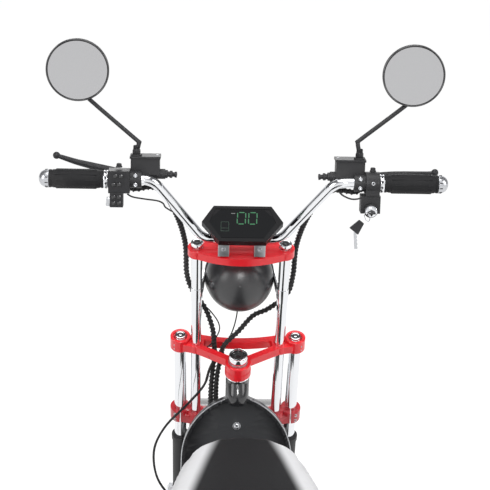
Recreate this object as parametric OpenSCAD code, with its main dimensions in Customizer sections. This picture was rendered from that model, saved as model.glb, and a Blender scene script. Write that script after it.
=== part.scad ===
// Fat-tyre electric chopper scooter, standing upright on its centre stand.
// Millimetres. +X is the rider's right, +Y is forward, +Z is up.
// The origin is on the floor, under the middle of the overall box.

/* [Wheels] */
// Overall diameter of both tyres
tyre_d = 457; // [440:1:470]
// Overall width of both tyres
tyre_w = 215; // [195:1:222]
// Thickness of the tyre's carcass
tyre_wall = 13; // [9:1:18]
// Radius of the tyre's shoulders
shoulder_r = 52; // [35:1:60]
// Radius of the tyre's crown across the tread
crown_r = 190; // [150:5:300]
// Diameter of the bead seat
rim_d = 203; // [190:1:215]
// Distance between the wheel axles
wheelbase = 1380; // [1350:1:1420]
// Gap below the rear tyre when the stand is down
rear_lift = 10; // [5:1:20]
// Diameter of both axles
axle_d = 16; // [12:1:18]
// Diameter of both brake discs
disc_d = 176; // [150:1:180]
// Thickness of both brake discs
disc_t = 4; // [3:0.5:5]
// Distance of both brake discs inside the tyre's side
disc_in = 1.5; // [0.5:0.5:2.5]
// Diameter of the rear hub motor
motor_d = 168; // [140:1:176]
// Width of the rear hub motor
motor_w = 120; // [100:1:140]

/* [Fork] */
// Rake of the steering axis from the vertical, in degrees
rake = 27; // [25:0.5:29]
// Distance of the steering axis behind the outer tubes
stem_back = 78; // [74:1:86]
// Gap between the front tyre's side and the sliders
fork_gap = 10.5; // [9:0.5:14]
// Distance of the inner tubes in from the outer tubes
tube_step = 38; // [36:1:41]
// Distance of the inner tubes behind the outer tubes
inner_back = 12; // [6:1:16]
// Diameter of the outer tubes
outer_tube_d = 30; // [26:1:32]
// Diameter of the inner tubes
inner_tube_d = 25; // [22:1:27]
// Height of the lower yoke above the axle, along the fork
lower_yoke_s = 310; // [300:1:320]
// Height of the middle yoke above the axle, along the fork
middle_yoke_s = 538; // [530:1:560]
// Height of the upper yoke above the axle, along the fork
upper_yoke_s = 838; // [810:1:860]
// Thickness of the lower yoke's clamps
lower_yoke_t = 34; // [28:1:40]
// Thickness of the middle yoke
middle_yoke_t = 22; // [18:1:28]
// Thickness of the upper yoke
upper_yoke_t = 20; // [16:1:26]
// Diameter of the sliders
slider_d = 40; // [38:1:42]
// Height of the sliders' tops above the axle, along the fork
slider_top_s = 212; // [195:1:230]
// Diameter of the stem inside the head tube
stem_d = 30; // [26:1:34]

/* [Handlebar] */
// Diameter of the handlebar tube
bar_d = 22.2; // [22:0.1:25.4]
// Overall width over the end caps
bar_w = 876; // [850:2:900]
// Height of the bar's centre above the upper yoke's middle, along the fork
bar_up = 36; // [33:1:42]
// Distance of the lower bends from the centre plane
low_bend_x = 87; // [80:1:95]
// Length of the bar's straight ends, from the upper bends
bar_straight = 242; // [241:1:250]
// Rise of the bar from its centre to its ends, along the fork
bar_rise = 192; // [180:1:210]
// Pull-back of the bar's ends, square to the fork
bar_pull = 36; // [20:1:50]
// Bend radius of the bar's centre line
bar_bend_r = 40; // [32:1:44]
// Diameter of a grip at its middle
grip_d = 42; // [38:0.5:44]
// Length of a grip's rubber
grip_l = 116; // [110:1:122]
// Length of an end cap
cap_l = 21; // [16:1:24]
// Length of a grip's inner collar
collar_l = 11; // [8:1:13]
// Diameter of a mirror
mirror_d = 134; // [120:1:140]
// Distance of the mirror centres in from the bar's ends
mirror_in = 81; // [75:1:92]
// Height of the mirror centres above the grips
mirror_up = 230; // [215:1:245]

/* [Lamp and display] */
// Gap between the headlamp bowl and the inner tubes
lamp_gap = 7.5; // [5:0.5:12]
// Height of the headlamp's centre above the axle, along the fork
lamp_s = 707; // [695:1:720]
// Distance of the headlamp's centre ahead of the outer tubes
lamp_ahead = 44; // [38:1:55]
// Width of the display over its side points
display_w = 180; // [165:1:190]
// Height of the display's face
display_h = 86; // [80:1:92]
// Thickness of the display
display_t = 22; // [16:1:26]
// Tilt of the display's face from the horizontal, in degrees
display_tilt = 52; // [48:1:58]

/* [Pan and deck] */
// Width of the foot pan and deck
pan_w = 292; // [280:1:310]
// Height of the deck's upper face above the floor
deck_z = 300; // [295:1:305]
// Height of the top of the pan's arch above the floor
pan_top_z = 600; // [592:1:608]
// Thickness of the pan's sheet
pan_t = 5; // [3:0.5:6]
// Radius of the bend between pan and deck, at the rider's side
pan_bend_r = 150; // [145:1:154]
// Distance of the pan's rear face behind the front axle
pan_back = 304; // [301:1:308]
// Height of the raised rim
rim_lip = 18; // [12:1:24]
// Thickness of the raised rim
lip_t = 8; // [6:1:12]
// Length of the deck's flat behind the bend
deck_l = 560; // [540:1:580]
// Length of the deck mat
mat_l = 300; // [280:5:320]

/* [Frame] */
// Outer diameter of the head tube
head_tube_d = 57; // [54:1:60]
// Half the distance between the frame's rails
rail_half = 95; // [90:1:100]
// Diameter of the rails
rail_d = 32; // [28:1:36]
// Diameter of the backbone behind the pan
backbone_d = 40; // [36:1:42]
// Height of the seat rails' centres above the floor
seat_rail_z = 588; // [580:1:594]
// Gap between the rear tyre's side and the swingarm's arms
arm_gap = 14.5; // [12:0.5:18]
// Diameter of the swingarm's arms
arm_d = 34; // [28:1:36]
// Diameter of the swingarm's pivot bolt
pivot_d = 18; // [14:1:20]
// Width of the battery box
battery_w = 148; // [120:1:150]
// Length of the battery box
battery_l = 380; // [340:1:400]
// Height of the battery box
battery_h = 140; // [120:1:150]

/* [Seat] */
// Distance of the seat's nose behind the front axle
seat_nose_back = 866; // [850:1:880]
// Length of the seat
seat_l = 560; // [540:1:580]
// Width of the seat
seat_w = 330; // [310:1:340]
// Radius of the seat's nose in plan
seat_nose_r = 105; // [90:1:115]
// Height of the seat's top above the floor
seat_top_z = 704; // [690:1:715]

/* [Stand] */
// Distance of the stand's pivot behind the front axle
stand_back = 985; // [970:1:1000]
// Height of the stand's pivot above the floor
stand_z = 212; // [205:1:216]
// Distance of the feet ahead of the stand's pivot
foot_ahead = 34; // [25:1:45]
// Half the distance between the feet
foot_half = 150; // [140:1:160]

/* [Hidden] */
$fn = 72;

// Clearance between pieces of one body, and between pieces that move on each other
fit = 0.2;
run = 0.4;
// A bend is this much thinner than its straights, so that it ends inside them
bend_ease = 0.4;

// Places that follow from the sizes above
tyre_r = tyre_d / 2;
rim_r = rim_d / 2;
disc_x = tyre_w / 2 - disc_in;
outer_half = tyre_w / 2 + fork_gap + slider_d / 2;
inner_half = outer_half - tube_step;
arm_half = tyre_w / 2 + arm_gap + arm_d / 2;
lamp_d = 2 * inner_half - inner_tube_d - 2 * lamp_gap;
rear_overhang = 270;
overall_l = tyre_r + wheelbase + rear_overhang;
front_axle_y = overall_l / 2 - tyre_r;
front_axle_z = tyre_r;
rear_axle_y = front_axle_y - wheelbase;
rear_axle_z = tyre_r + rear_lift;
tail_y = -overall_l / 2;
rail_r = rail_d / 2;
rail_z = deck_z - pan_t - rail_r;
deck_front_y = front_axle_y - pan_back - pan_bend_r;
deck_back_y = deck_front_y - deck_l;
pan_y = front_axle_y - pan_back;
bend_z = deck_z + pan_bend_r;
arch_z = pan_top_z - pan_w / 2;
seat_nose_y = front_axle_y - seat_nose_back;
seat_rail_r = 14;
seat_front_y = seat_nose_y - 60;
seat_stay_y = seat_nose_y + 10;
seat_base_z = seat_rail_z + seat_rail_r;
seat_base_t = 10;
pivot_y = rear_axle_y + 324;
pivot_z = rail_z - rail_r - 22;
stand_y = front_axle_y - stand_back;
bar_s = upper_yoke_s + bar_up;
end_s = bar_s + bar_rise;
end_a = -inner_back - bar_pull;
grip_in_x = bar_w / 2 - cap_l - grip_l;
high_bend_x = bar_w / 2 - bar_straight;
mirror_x = bar_w / 2 - mirror_in;
head_bottom_s = lower_yoke_s + lower_yoke_t / 2 + 6;
head_top_s = middle_yoke_s - middle_yoke_t / 2 - 8;

// A rod between two points
module rod(from, to, d) {
  v = to - from;
  l = norm(v);
  translate(from) rotate([0, acos(v[2] / l), atan2(v[1], v[0])]) cylinder(h = l, d = d);
}

// A rod that lies across, along X
module across(x0, x1, d) {
  translate([x0, 0, 0]) rotate([0, 90, 0]) cylinder(h = x1 - x0, d = d);
}

// Both sides: the drawn one at +X, and its mirror image
module both_sides() {
  children();
  mirror([1, 0, 0]) children();
}

function unit(v) = v / norm(v);

// Distance from a corner to where its bend starts
function bend_run(points, i, r) =
  (i == 0 || i == len(points) - 1) ? 0
  : r * tan(acos(unit(points[i] - points[i - 1]) * unit(points[i + 1] - points[i])) / 2);

// A tube bent round its corners at one radius, from straight lengths and arcs
module bent_tube(points, d, r) {
  for (i = [0 : len(points) - 2]) {
    u = unit(points[i + 1] - points[i]);
    rod(points[i] + u * bend_run(points, i, r), points[i + 1] - u * bend_run(points, i + 1, r), d);
  }
  for (i = [1 : len(points) - 2]) {
    u = unit(points[i] - points[i - 1]);
    v = unit(points[i + 1] - points[i]);
    w = unit(v - u * (u * v));
    c = points[i] - u * bend_run(points, i, r) + w * r;
    n = cross(-w, u);
    bend = acos(u * v);
    multmatrix([
      [-w[0], u[0], n[0], c[0]],
      [-w[1], u[1], n[1], c[1]],
      [-w[2], u[2], n[2], c[2]],
      [0, 0, 0, 1]
    ])
      rotate([0, 0, -2]) rotate_extrude(angle = bend + 4) translate([r, 0]) circle(d = d - bend_ease);
  }
}

// A cable swept along its route: a smooth curve through the points, as one closed surface
function curve_at(p, t) =
  let (n = len(p) - 1, i = min(floor(t), n - 1), f = t - i,
       a = p[max(i - 1, 0)], b = p[i], c = p[i + 1], d = p[min(i + 2, n)])
  0.5 * (2 * b + (c - a) * f + (2 * a - 5 * b + 4 * c - d) * f * f
         + (3 * b - a - 3 * c + d) * f * f * f);
module cable(points, d, steps, sides = 8) {
  n = (len(points) - 1) * steps;
  c = [for (i = [0 : n]) curve_at(points, i / steps)];
  t = [for (i = [0 : n]) unit(c[min(i + 1, n)] - c[max(i - 1, 0)])];
  up = [0.1, 1, 0.3];
  rings = [for (i = [0 : n]) let (a = unit(cross(t[i], up)), b = cross(t[i], a))
    [for (k = [0 : sides - 1])
      c[i] + (a * cos(360 * k / sides) + b * sin(360 * k / sides)) * d / 2]];
  polyhedron(
    points = [for (ring = rings) each ring],
    faces = concat(
      [[for (k = [0 : sides - 1]) k]],
      [for (i = [0 : n - 1]) for (k = [0 : sides - 1])
        [i * sides + k, (i + 1) * sides + k,
         (i + 1) * sides + (k + 1) % sides, i * sides + (k + 1) % sides]],
      [[for (k = [sides - 1 : -1 : 0]) n * sides + k]]));
}

// The fork's own frame: its origin at the front axle, +Z up along the fork
module in_fork() {
  translate([0, front_axle_y, front_axle_z]) rotate([rake, 0, 0]) children();
}

// A level frame on the straight end of the handlebar, at a distance from the centre plane
module on_bar_end(x) {
  in_fork() translate([x, end_a, end_s]) rotate([-rake, 0, 0]) children();
}

// Wheels, drawn round the X axis

module tyre() {
  rotate([0, 90, 0]) rotate_extrude() difference() {
    intersection() {
      tyre_outline(0);
      translate([tyre_r - crown_r, 0]) circle(r = crown_r, $fn = 180);
    }
    tyre_outline(tyre_wall);
    translate([0, -rim_seat_half()]) square([rim_r + fit, 2 * rim_seat_half()]);
    translate([0, -rim_seat_half() + 26]) square([rim_r + 40, 2 * rim_seat_half() - 52]);
  }
}

function rim_seat_half() = tyre_w / 2 - 22;

// The tyre's section, in from its outside by a given distance
module tyre_outline(inset) {
  r_out = tyre_r - inset;
  half = tyre_w / 2 - inset;
  r = shoulder_r - inset;
  r_in = rim_r + inset * 0.4;
  corner = 22;
  union() {
    translate([r_in, -half + corner]) square([r_out - r - r_in, 2 * half - 2 * corner]);
    translate([r_in + corner, -half]) square([r_out - r - r_in - corner, 2 * half]);
    translate([r_out - r - 1, -half + r]) square([r + 1, 2 * half - 2 * r]);
    for (side = [-1, 1]) {
      translate([r_out - r, side * (half - r)]) circle(r = r);
      translate([r_in + corner, side * (half - corner)]) circle(r = corner);
    }
  }
}

// The rim's barrel with its two flanges
module rim_barrel() {
  half = rim_seat_half();
  rotate([0, 90, 0]) rotate_extrude() difference() {
    union() {
      translate([rim_r - 9, -half - 3]) square([9, 2 * half + 6]);
    }
    translate([0, -half + 10]) square([rim_r - 6, 2 * half - 20]);
  }
}

module front_wheel_place() {
  translate([0, front_axle_y, front_axle_z]) children();
}

module rear_wheel_place() {
  translate([0, rear_axle_y, rear_axle_z]) children();
}

module front_rim() {
  color("silver") front_wheel_place() difference() {
    union() {
      rim_barrel();
      across(-7, 7, 2 * rim_r - 11);
      across(-disc_x + disc_t / 2, rim_seat_half() + 9.5, 62);
      for (k = [0 : 5]) rotate([60 * k, 0, 0])
        translate([-22, -6, 28]) cube([44, 12, rim_r - 32]);
    }
    across(-tyre_w, tyre_w, axle_d + 2 * run);
    for (k = [0 : 5]) rotate([60 * k + 30, 0, 0]) translate([0, 0, 62]) across(-20, 20, 38);
  }
}

module rear_rim() {
  color("silver") rear_wheel_place() difference() {
    union() {
      rim_barrel();
      across(-motor_w / 2, motor_w / 2, motor_d);
      across(-8, 8, 2 * rim_r - 11);
      across(-disc_x + disc_t / 2, rim_seat_half() + 9.5, 56);
      for (k = [0 : 9]) rotate([36 * k, 0, 0])
        translate([-motor_w / 2 - 4, -3, 26]) cube([motor_w + 8, 6, motor_d / 2 - 34]);
    }
    across(-tyre_w, tyre_w, axle_d + 2 * run);
  }
}

module brake_disc() {
  difference() {
    union() {
      across(-disc_t / 2, disc_t / 2, disc_d);
    }
    difference() {
      across(-disc_t, disc_t, disc_d - 56);
      across(-disc_t, disc_t, 64);
      for (k = [0 : 5]) rotate([60 * k, 0, 0])
        translate([-disc_t, -8, 25]) cube([2 * disc_t, 16, disc_d / 2 - 50]);
    }
    across(-disc_t, disc_t, axle_d + 2 * run + 10);
    for (k = [0 : 17]) rotate([20 * k, 0, 0]) translate([0, 0, disc_d / 2 - (k % 2 == 0 ? 9 : 19)])
      across(-disc_t, disc_t, 7);
  }
}

module front_tyre() {
  color("#232325") front_wheel_place() tyre();
}

module rear_tyre() {
  color("#232325") rear_wheel_place() tyre();
}

module front_disc() {
  color("lightgray") front_wheel_place() translate([-disc_x, 0, 0]) brake_disc();
}

module rear_disc() {
  color("lightgray") rear_wheel_place() translate([-disc_x, 0, 0]) brake_disc();
}

// Axles: a shaft with a flanged nut on each end

module axle(half) {
  across(-half, half, axle_d);
  for (side = [-1, 1]) translate([side * (half - 8), 0, 0])
    rotate([0, 90, 0]) cylinder(h = 10, d = 27, center = true, $fn = 6);
}

module front_axle() {
  color("silver") front_wheel_place() axle(outer_half + slider_d / 2 + 14);
}

module rear_axle() {
  color("silver") rear_wheel_place() axle(arm_half + arm_d / 2 + 14);
}

// Frame

module main_frame() {
  foot_y = pan_y - 57;
  knee = [0, pan_y + 31, front_axle_z + 172];
  seat_end_y = rear_axle_y + 20;
  shock_y = rear_axle_y + 150;
  cross_d = rail_d - 6;
  color("#2c2d2f") difference() {
    union() {
      in_fork() translate([0, -stem_back, head_bottom_s])
        cylinder(h = head_top_s - head_bottom_s, d = head_tube_d);
      bent_tube([[0, foot_y, rail_z - 6], knee, head_point(108)], backbone_d, 50);
      rod([-rail_half, foot_y, rail_z], [rail_half, foot_y, rail_z], cross_d);
      both_sides() {
        bent_tube([
          [rail_half, foot_y + 20, rail_z],
          [rail_half, pivot_y - 30, rail_z],
          [rail_half, pivot_y - 44, seat_rail_z]
        ], rail_d, 60);
        bent_tube([
          [rail_half, seat_stay_y, rail_z],
          [rail_half, seat_front_y, seat_rail_z],
          [rail_half, seat_end_y - 18, seat_rail_z]
        ], 2 * seat_rail_r, 50);
        rod([rail_half, shock_y, seat_rail_z], [arm_half + 15, shock_y, seat_rail_z], 18);
        translate([rail_half - 6, pivot_y - 16, pivot_z]) cube([12, 44, rail_z - pivot_z]);
        translate([rail_half - 6, stand_y - 14, stand_z]) cube([12, 28, rail_z - stand_z]);
        translate([rail_half - 6, stand_y, stand_z]) across(0, 12, 28);
      }
      for (y = [seat_front_y - 60, seat_end_y])
        rod([-rail_half, y, seat_rail_z], [rail_half, y, seat_rail_z], 22);
      translate([0, pivot_y, pivot_z])
        across(-arm_half + arm_d / 2 + run, arm_half - arm_d / 2 - run, 42);
    }
    in_fork() translate([0, -stem_back, head_bottom_s - 30])
      cylinder(h = head_top_s - head_bottom_s + 60, d = head_tube_d - 10);
    translate([0, pivot_y, pivot_z]) across(-200, 200, pivot_d + 2 * fit);
    translate([0, stand_y, stand_z]) across(-200, 200, 16 + 2 * run);
  }
}

// A point on the steering axis, a distance above the head tube's foot
function head_point(up) = [
  0,
  front_axle_y - (head_bottom_s + up) * sin(rake) - stem_back * cos(rake),
  front_axle_z + (head_bottom_s + up) * cos(rake) - stem_back * sin(rake)
];

module head_races() {
  color("silver") in_fork() for (s = [head_bottom_s - 5, head_top_s + fit])
    translate([0, -stem_back, s]) difference() {
      cylinder(h = 5 - fit, d = head_tube_d + 3);
      translate([0, 0, -1]) cylinder(h = 8, d = stem_d + 2 * run);
    }
}

// Foot pan: an arched upright, a bend and the deck, with one raised rim round all three

module pan_arch(inset) {
  r = pan_w / 2 - inset;
  intersection() {
    circle(r = r, $fn = 144);
    translate([-r, 0]) square([2 * r, r]);
  }
  translate([-r, bend_z - arch_z]) square([2 * r, arch_z - bend_z + 0.01]);
}

// The upright's own frame: X across, Y up, Z towards the rider
module on_pan(out) {
  translate([0, pan_y - out, arch_z]) rotate([90, 0, 0]) children();
}

module pan_section(x0, x1, low, high) {
  // The bend and the deck, between two X values and two depths towards the rider
  translate([x0, pan_y - pan_bend_r, bend_z]) rotate([0, 90, 0]) rotate_extrude(angle = 90)
    translate([pan_bend_r - high, 0]) square([high - low, x1 - x0]);
  translate([x0, deck_back_y, deck_z + low]) cube([x1 - x0, deck_l, high - low]);
}

module foot_pan() {
  half = pan_w / 2;
  color("#333436") {
    difference() {
      union() {
        on_pan(-pan_t) linear_extrude(pan_t) pan_arch(0);
        pan_section(-half, half, -pan_t, 0);
        on_pan(0) linear_extrude(rim_lip) difference() {
          pan_arch(0);
          pan_arch(lip_t);
        }
        pan_section(-half, -half + lip_t, 0, rim_lip);
        pan_section(half - lip_t, half, 0, rim_lip);
      }
      translate([0, pan_y - 1, pan_top_z - 80]) rotate([-90, 0, 0]) cylinder(h = pan_t + 2, d = 8);
      both_sides() rod([rail_half, seat_stay_y, rail_z], [rail_half, seat_front_y, seat_rail_z],
        2 * seat_rail_r + 2);
      in_fork() translate([0, -stem_back, head_bottom_s])
        cylinder(h = head_top_s - head_bottom_s, d = head_tube_d + 2);
    }
  }
}

module deck_mat() {
  mat_w = pan_w - 2 * lip_t - 24;
  color("#1d1d1f") translate([-mat_w / 2, deck_front_y - mat_l, deck_z]) {
    cube([mat_w, mat_l, 3]);
    for (k = [0 : 8]) translate([16 + k * (mat_w - 32 - 8) / 8, 12, 3]) cube([8, mat_l - 24, 2.5]);
  }
}

module battery_box() {
  color("#3a3b3d") translate([-battery_w / 2, deck_front_y - battery_l, deck_z - pan_t - battery_h])
    cube([battery_w, battery_l, battery_h]);
}

module controller_case() {
  w = 2 * rail_half - rail_d - 12;
  color("#37383a") translate([-w / 2, seat_nose_y - 170, deck_z]) difference() {
    cube([w, 130, 240]);
    for (k = [0 : 6]) translate([-1, 12 + k * 16, 30]) cube([5, 8, 180]);
    for (k = [0 : 6]) translate([w - 4, 12 + k * 16, 30]) cube([5, 8, 180]);
  }
}

// Points of an arc from one angle to another, ends included
function arc(c, r, from, to, n) =
  [for (i = [0 : n]) c + r * [cos(from + (to - from) * i / n), sin(from + (to - from) * i / n)]];

// Seat: its outline in plan, in from its edge by a given distance
module seat_plan(inset) {
  half = seat_w / 2 - inset;
  tail_r = 60 - inset;
  taper = 230;
  flare = 18;
  nose = [0, seat_nose_y - seat_nose_r];
  tail = [half - tail_r, seat_nose_y - seat_l + 60];
  right = concat(
    arc(nose, seat_nose_r - inset, 90, flare, 10),
    [[half, nose[1] - taper]],
    arc(tail, tail_r, 0, -90, 6));
  polygon(concat(right, [for (i = [len(right) - 1 : -1 : 1]) [-right[i][0], right[i][1]]]));
}

module seat_base() {
  color("#303133") translate([0, 0, seat_base_z]) linear_extrude(seat_base_t) seat_plan(14);
}

module seat() {
  bottom = seat_base_z + seat_base_t + 0.3;
  h = seat_top_z - bottom;
  dome_r = 460;
  color("#3a3a3c") intersection() {
    union() {
      translate([0, 0, bottom]) linear_extrude(h * 0.7) seat_plan(0);
      translate([0, 0, bottom + h * 0.7]) linear_extrude(h * 0.3) seat_plan(16);
    }
    translate([0, seat_nose_y + 20, seat_top_z - dome_r]) rotate([90, 0, 0])
      cylinder(h = seat_l + 40, r = dome_r, $fn = 360);
  }
}

// Rear suspension

module swingarm() {
  color("#2c2d2f") difference() {
    union() {
      both_sides() {
        rod([arm_half, pivot_y, pivot_z], [arm_half, rear_axle_y, rear_axle_z], arm_d);
        translate([0, pivot_y, pivot_z]) across(arm_half - arm_d / 2, arm_half + arm_d / 2, 40);
        translate([0, rear_axle_y, rear_axle_z]) across(arm_half - 12, arm_half + 12, 50);
        translate([0, rear_axle_y + 86, rear_axle_z + 34]) difference() {
          across(arm_half - 13, arm_half + 13, 26);
          across(arm_half - 9, arm_half + 9, 60);
        }
        for (x = [arm_half - 13, arm_half + 9])
          translate([x, rear_axle_y + 73, rear_axle_z]) cube([4, 26, 34]);
      }
      rod([-arm_half, pivot_y - 62, pivot_z], [arm_half, pivot_y - 62, pivot_z], 26);
    }
    translate([0, pivot_y, pivot_z]) across(-200, 200, pivot_d + 2 * fit);
    rear_wheel_place() across(-200, 200, axle_d + 2 * fit);
    both_sides() translate([0, rear_axle_y + 86, rear_axle_z + 34]) across(arm_half - 20, arm_half + 20, 10 + 2 * fit);
  }
}

module pivot_bolt() {
  color("silver") translate([0, pivot_y, pivot_z]) {
    across(-arm_half - arm_d / 2 - 12, arm_half + arm_d / 2 + 12, pivot_d);
    for (side = [-1, 1]) translate([side * (arm_half + arm_d / 2 + 6), 0, 0])
      rotate([0, 90, 0]) cylinder(h = 10, d = 30, center = true, $fn = 6);
  }
}

// Spring and damper units, drawn on their own axis and then leaned into place
module rear_shocks() {
  low = [arm_half, rear_axle_y + 86, rear_axle_z + 34];
  high = [arm_half, rear_axle_y + 150, seat_rail_z];
  v = high - low;
  l = norm(v);
  lean = atan2(v[1], v[2]);
  turns = 6;
  coil_r = 20;
  wire = 7;
  color("silver") both_sides() translate(low) rotate([-lean, 0, 0]) difference() {
    union() {
      across(-8, 8, 24);
      translate([0, 0, l]) across(-8, 8, 28);
      cylinder(h = l, d = 14);
      translate([0, 0, 20]) cylinder(h = l * 0.42, d = 30);
      translate([0, 0, 34]) cylinder(h = 6, d = 2 * coil_r + wire);
      translate([0, 0, l - 40]) cylinder(h = 26, d = 2 * coil_r + wire);
      helix(coil_r, wire, 40 - wire * 0.3, l - 40 + wire * 0.3, turns);
    }
    across(-20, 20, 10 + 2 * fit);
    translate([0, 0, l]) across(-20, 20, 18 + 2 * fit);
  }
  color("silver") both_sides() translate(low) across(-15, 15, 10);
}

module helix(r, d, z0, z1, turns) {
  sides = 6;
  n = turns * 12;
  ring = [for (i = [0 : n]) for (k = [0 : sides - 1])
    let (a = 360 * turns * i / n, c = 360 * k / sides, rr = r + cos(c) * d / 2)
    [rr * cos(a), rr * sin(a), z0 + (z1 - z0) * i / n + sin(c) * d / 2]];
  polyhedron(
    points = ring,
    faces = concat(
      [[for (k = [sides - 1 : -1 : 0]) k]],
      [for (i = [0 : n - 1]) for (k = [0 : sides - 1])
        [i * sides + k, i * sides + (k + 1) % sides,
         (i + 1) * sides + (k + 1) % sides, (i + 1) * sides + k]],
      [[for (k = [0 : sides - 1]) n * sides + k]]));
}

// Brake caliper round the disc's edge, with a lug to what carries it
module caliper(lug_x) {
  half = 11;
  low = disc_d / 2 - 26;
  bridge = 6.5;
  difference() {
    translate([-disc_x - half, -30, low]) cube([2 * half, 60, 26 + 1.5 + bridge]);
    translate([-disc_x - disc_t / 2 - 1, -40, 0]) cube([disc_t + 2, 80, disc_d / 2 + 1.5]);
  }
  translate([-lug_x, -30, low]) cube([lug_x - disc_x - half + 0.5, 60, 26]);
}

module front_caliper() {
  color("#3b3c3e") front_wheel_place() rotate([rake + 62, 0, 0]) caliper(outer_half - slider_d / 2 - fit);
}

module rear_caliper() {
  color("#3b3c3e") rear_wheel_place() rotate([-40, 0, 0]) caliper(arm_half - arm_d / 2 - fit);
}

// Mudguards: rolled shells round the tyre

guard_t = 3;
rear_guard_gap = 22;
module mudguard(gap, from, sweep, w, skirt) {
  t = guard_t;
  r = tyre_r + gap;
  rotate([0, 90, 0]) rotate([0, 0, from]) rotate_extrude(angle = sweep) difference() {
    translate([r - skirt, -w / 2]) square([skirt + t, w]);
    translate([r - skirt - 1, -w / 2 + t]) square([skirt + 1, w - 2 * t]);
  }
}

module front_mudguard() {
  gap = 14;
  guard_half = tyre_w / 2 + 7.5;
  plate_x = outer_half - slider_d / 2 - 2.2;
  color("#2f3032") {
    front_wheel_place() mudguard(gap, 130, 95, 2 * guard_half, 30);
    in_fork() both_sides() {
      translate([guard_half - 2.2, -14, slider_top_s - 40]) cube([plate_x - guard_half + 2.2, 28, 66]);
      translate([0, 0, slider_top_s - 28]) across(plate_x - 1, outer_half - slider_d / 2 - fit, 18);
    }
  }
}

module rear_mudguard() {
  color("#2f3032") rear_wheel_place() mudguard(rear_guard_gap, 125, 105, tyre_w + 13, 34);
}

module tail_lamp() {
  color("#a01820") rear_wheel_place() rotate([128, 0, 0]) 
    translate([-55, tyre_r + rear_guard_gap + guard_t + fit, -22]) cube([110, 24, 44]);
}

module plate_bracket() {
  top = rear_axle_z + 152;
  color("#2c2d2f") difference() {
    union() {
      translate([-60, tail_y, top - 92]) cube([120, 4, 92]);
      translate([-30, tail_y, top - 4]) cube([60, 90, 4]);
    }
    for (side = [-1, 1]) translate([side * 35, tail_y - 1, top - 30]) rotate([-90, 0, 0])
      cylinder(h = 8, d = 7);
    rear_wheel_place() across(-100, 100, 2 * (tyre_r + rear_guard_gap + guard_t + fit), $fn = 240);
  }
}

// Centre stand, down and on its stop

module centre_stand() {
  foot_y = stand_y + foot_ahead;
  color("#2a2b2d") {
    both_sides() {
      difference() {
        union() {
          translate([rail_half + 7, stand_y, stand_z]) across(0, 16, 32);
          rod([rail_half + 15, stand_y, stand_z], [foot_half, foot_y, 12], 20);
          translate([foot_half, foot_y, 0]) translate([-16, -24, 0]) cube([32, 48, 10]);
        }
        translate([0, stand_y, stand_z]) across(-200, 200, 16 + 2 * fit);
      }
    }
    rod([-foot_half + 18, stand_y + foot_ahead * 0.45, stand_z * 0.58],
        [foot_half - 18, stand_y + foot_ahead * 0.45, stand_z * 0.58], 20);
  }
}

// Steering head

module steering_stem() {
  top = middle_yoke_s + middle_yoke_t / 2;
  color("silver") in_fork() translate([0, -stem_back, 0]) {
    translate([0, 0, lower_yoke_s - lower_yoke_t / 2 - 4])
      cylinder(h = top + 8 - lower_yoke_s + lower_yoke_t / 2 + 4, d = stem_d);
    translate([0, 0, top + fit]) cylinder(h = 5, d = 46);
    translate([0, 0, top + 5 + fit]) cylinder(h = 11, d = 32, $fn = 6);
    translate([0, 0, lower_yoke_s - lower_yoke_t / 2 - 9]) cylinder(h = 9 - fit, d = 44);
  }
}

module tube_holes(s, t) {
  for (side = [-1, 1]) {
    translate([side * outer_half, 0, s - t]) cylinder(h = 2 * t, d = outer_tube_d + 2 * fit);
    translate([side * inner_half, -inner_back, s - t]) cylinder(h = 2 * t, d = inner_tube_d + 2 * fit);
  }
}

module lower_yoke() {
  color("firebrick") in_fork() difference() {
    translate([0, 0, lower_yoke_s - lower_yoke_t / 2]) {
      linear_extrude(lower_yoke_t) for (side = [-1, 1]) {
        translate([side * outer_half, 0]) circle(r = 25);
        translate([side * inner_half, -inner_back]) circle(r = 20);
      }
      linear_extrude(lower_yoke_t * 0.7) {
        polygon([
          [-outer_half, 22], [-inner_half, 10], [inner_half, 10], [outer_half, 22],
          [outer_half, -22], [inner_half, -34], [34, -stem_back - 8], [-34, -stem_back - 8],
          [-inner_half, -34], [-outer_half, -22]
        ]);
        translate([0, -stem_back]) circle(r = 34);
      }
    }
    tube_holes(lower_yoke_s, lower_yoke_t);
    translate([0, -stem_back, lower_yoke_s - 50]) cylinder(h = 100, d = stem_d + 2 * fit);
    for (side = [-1, 1]) translate([side * outer_half - 1.5, -40, lower_yoke_s - 40]) cube([3, 40, 80]);
  }
}

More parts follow.
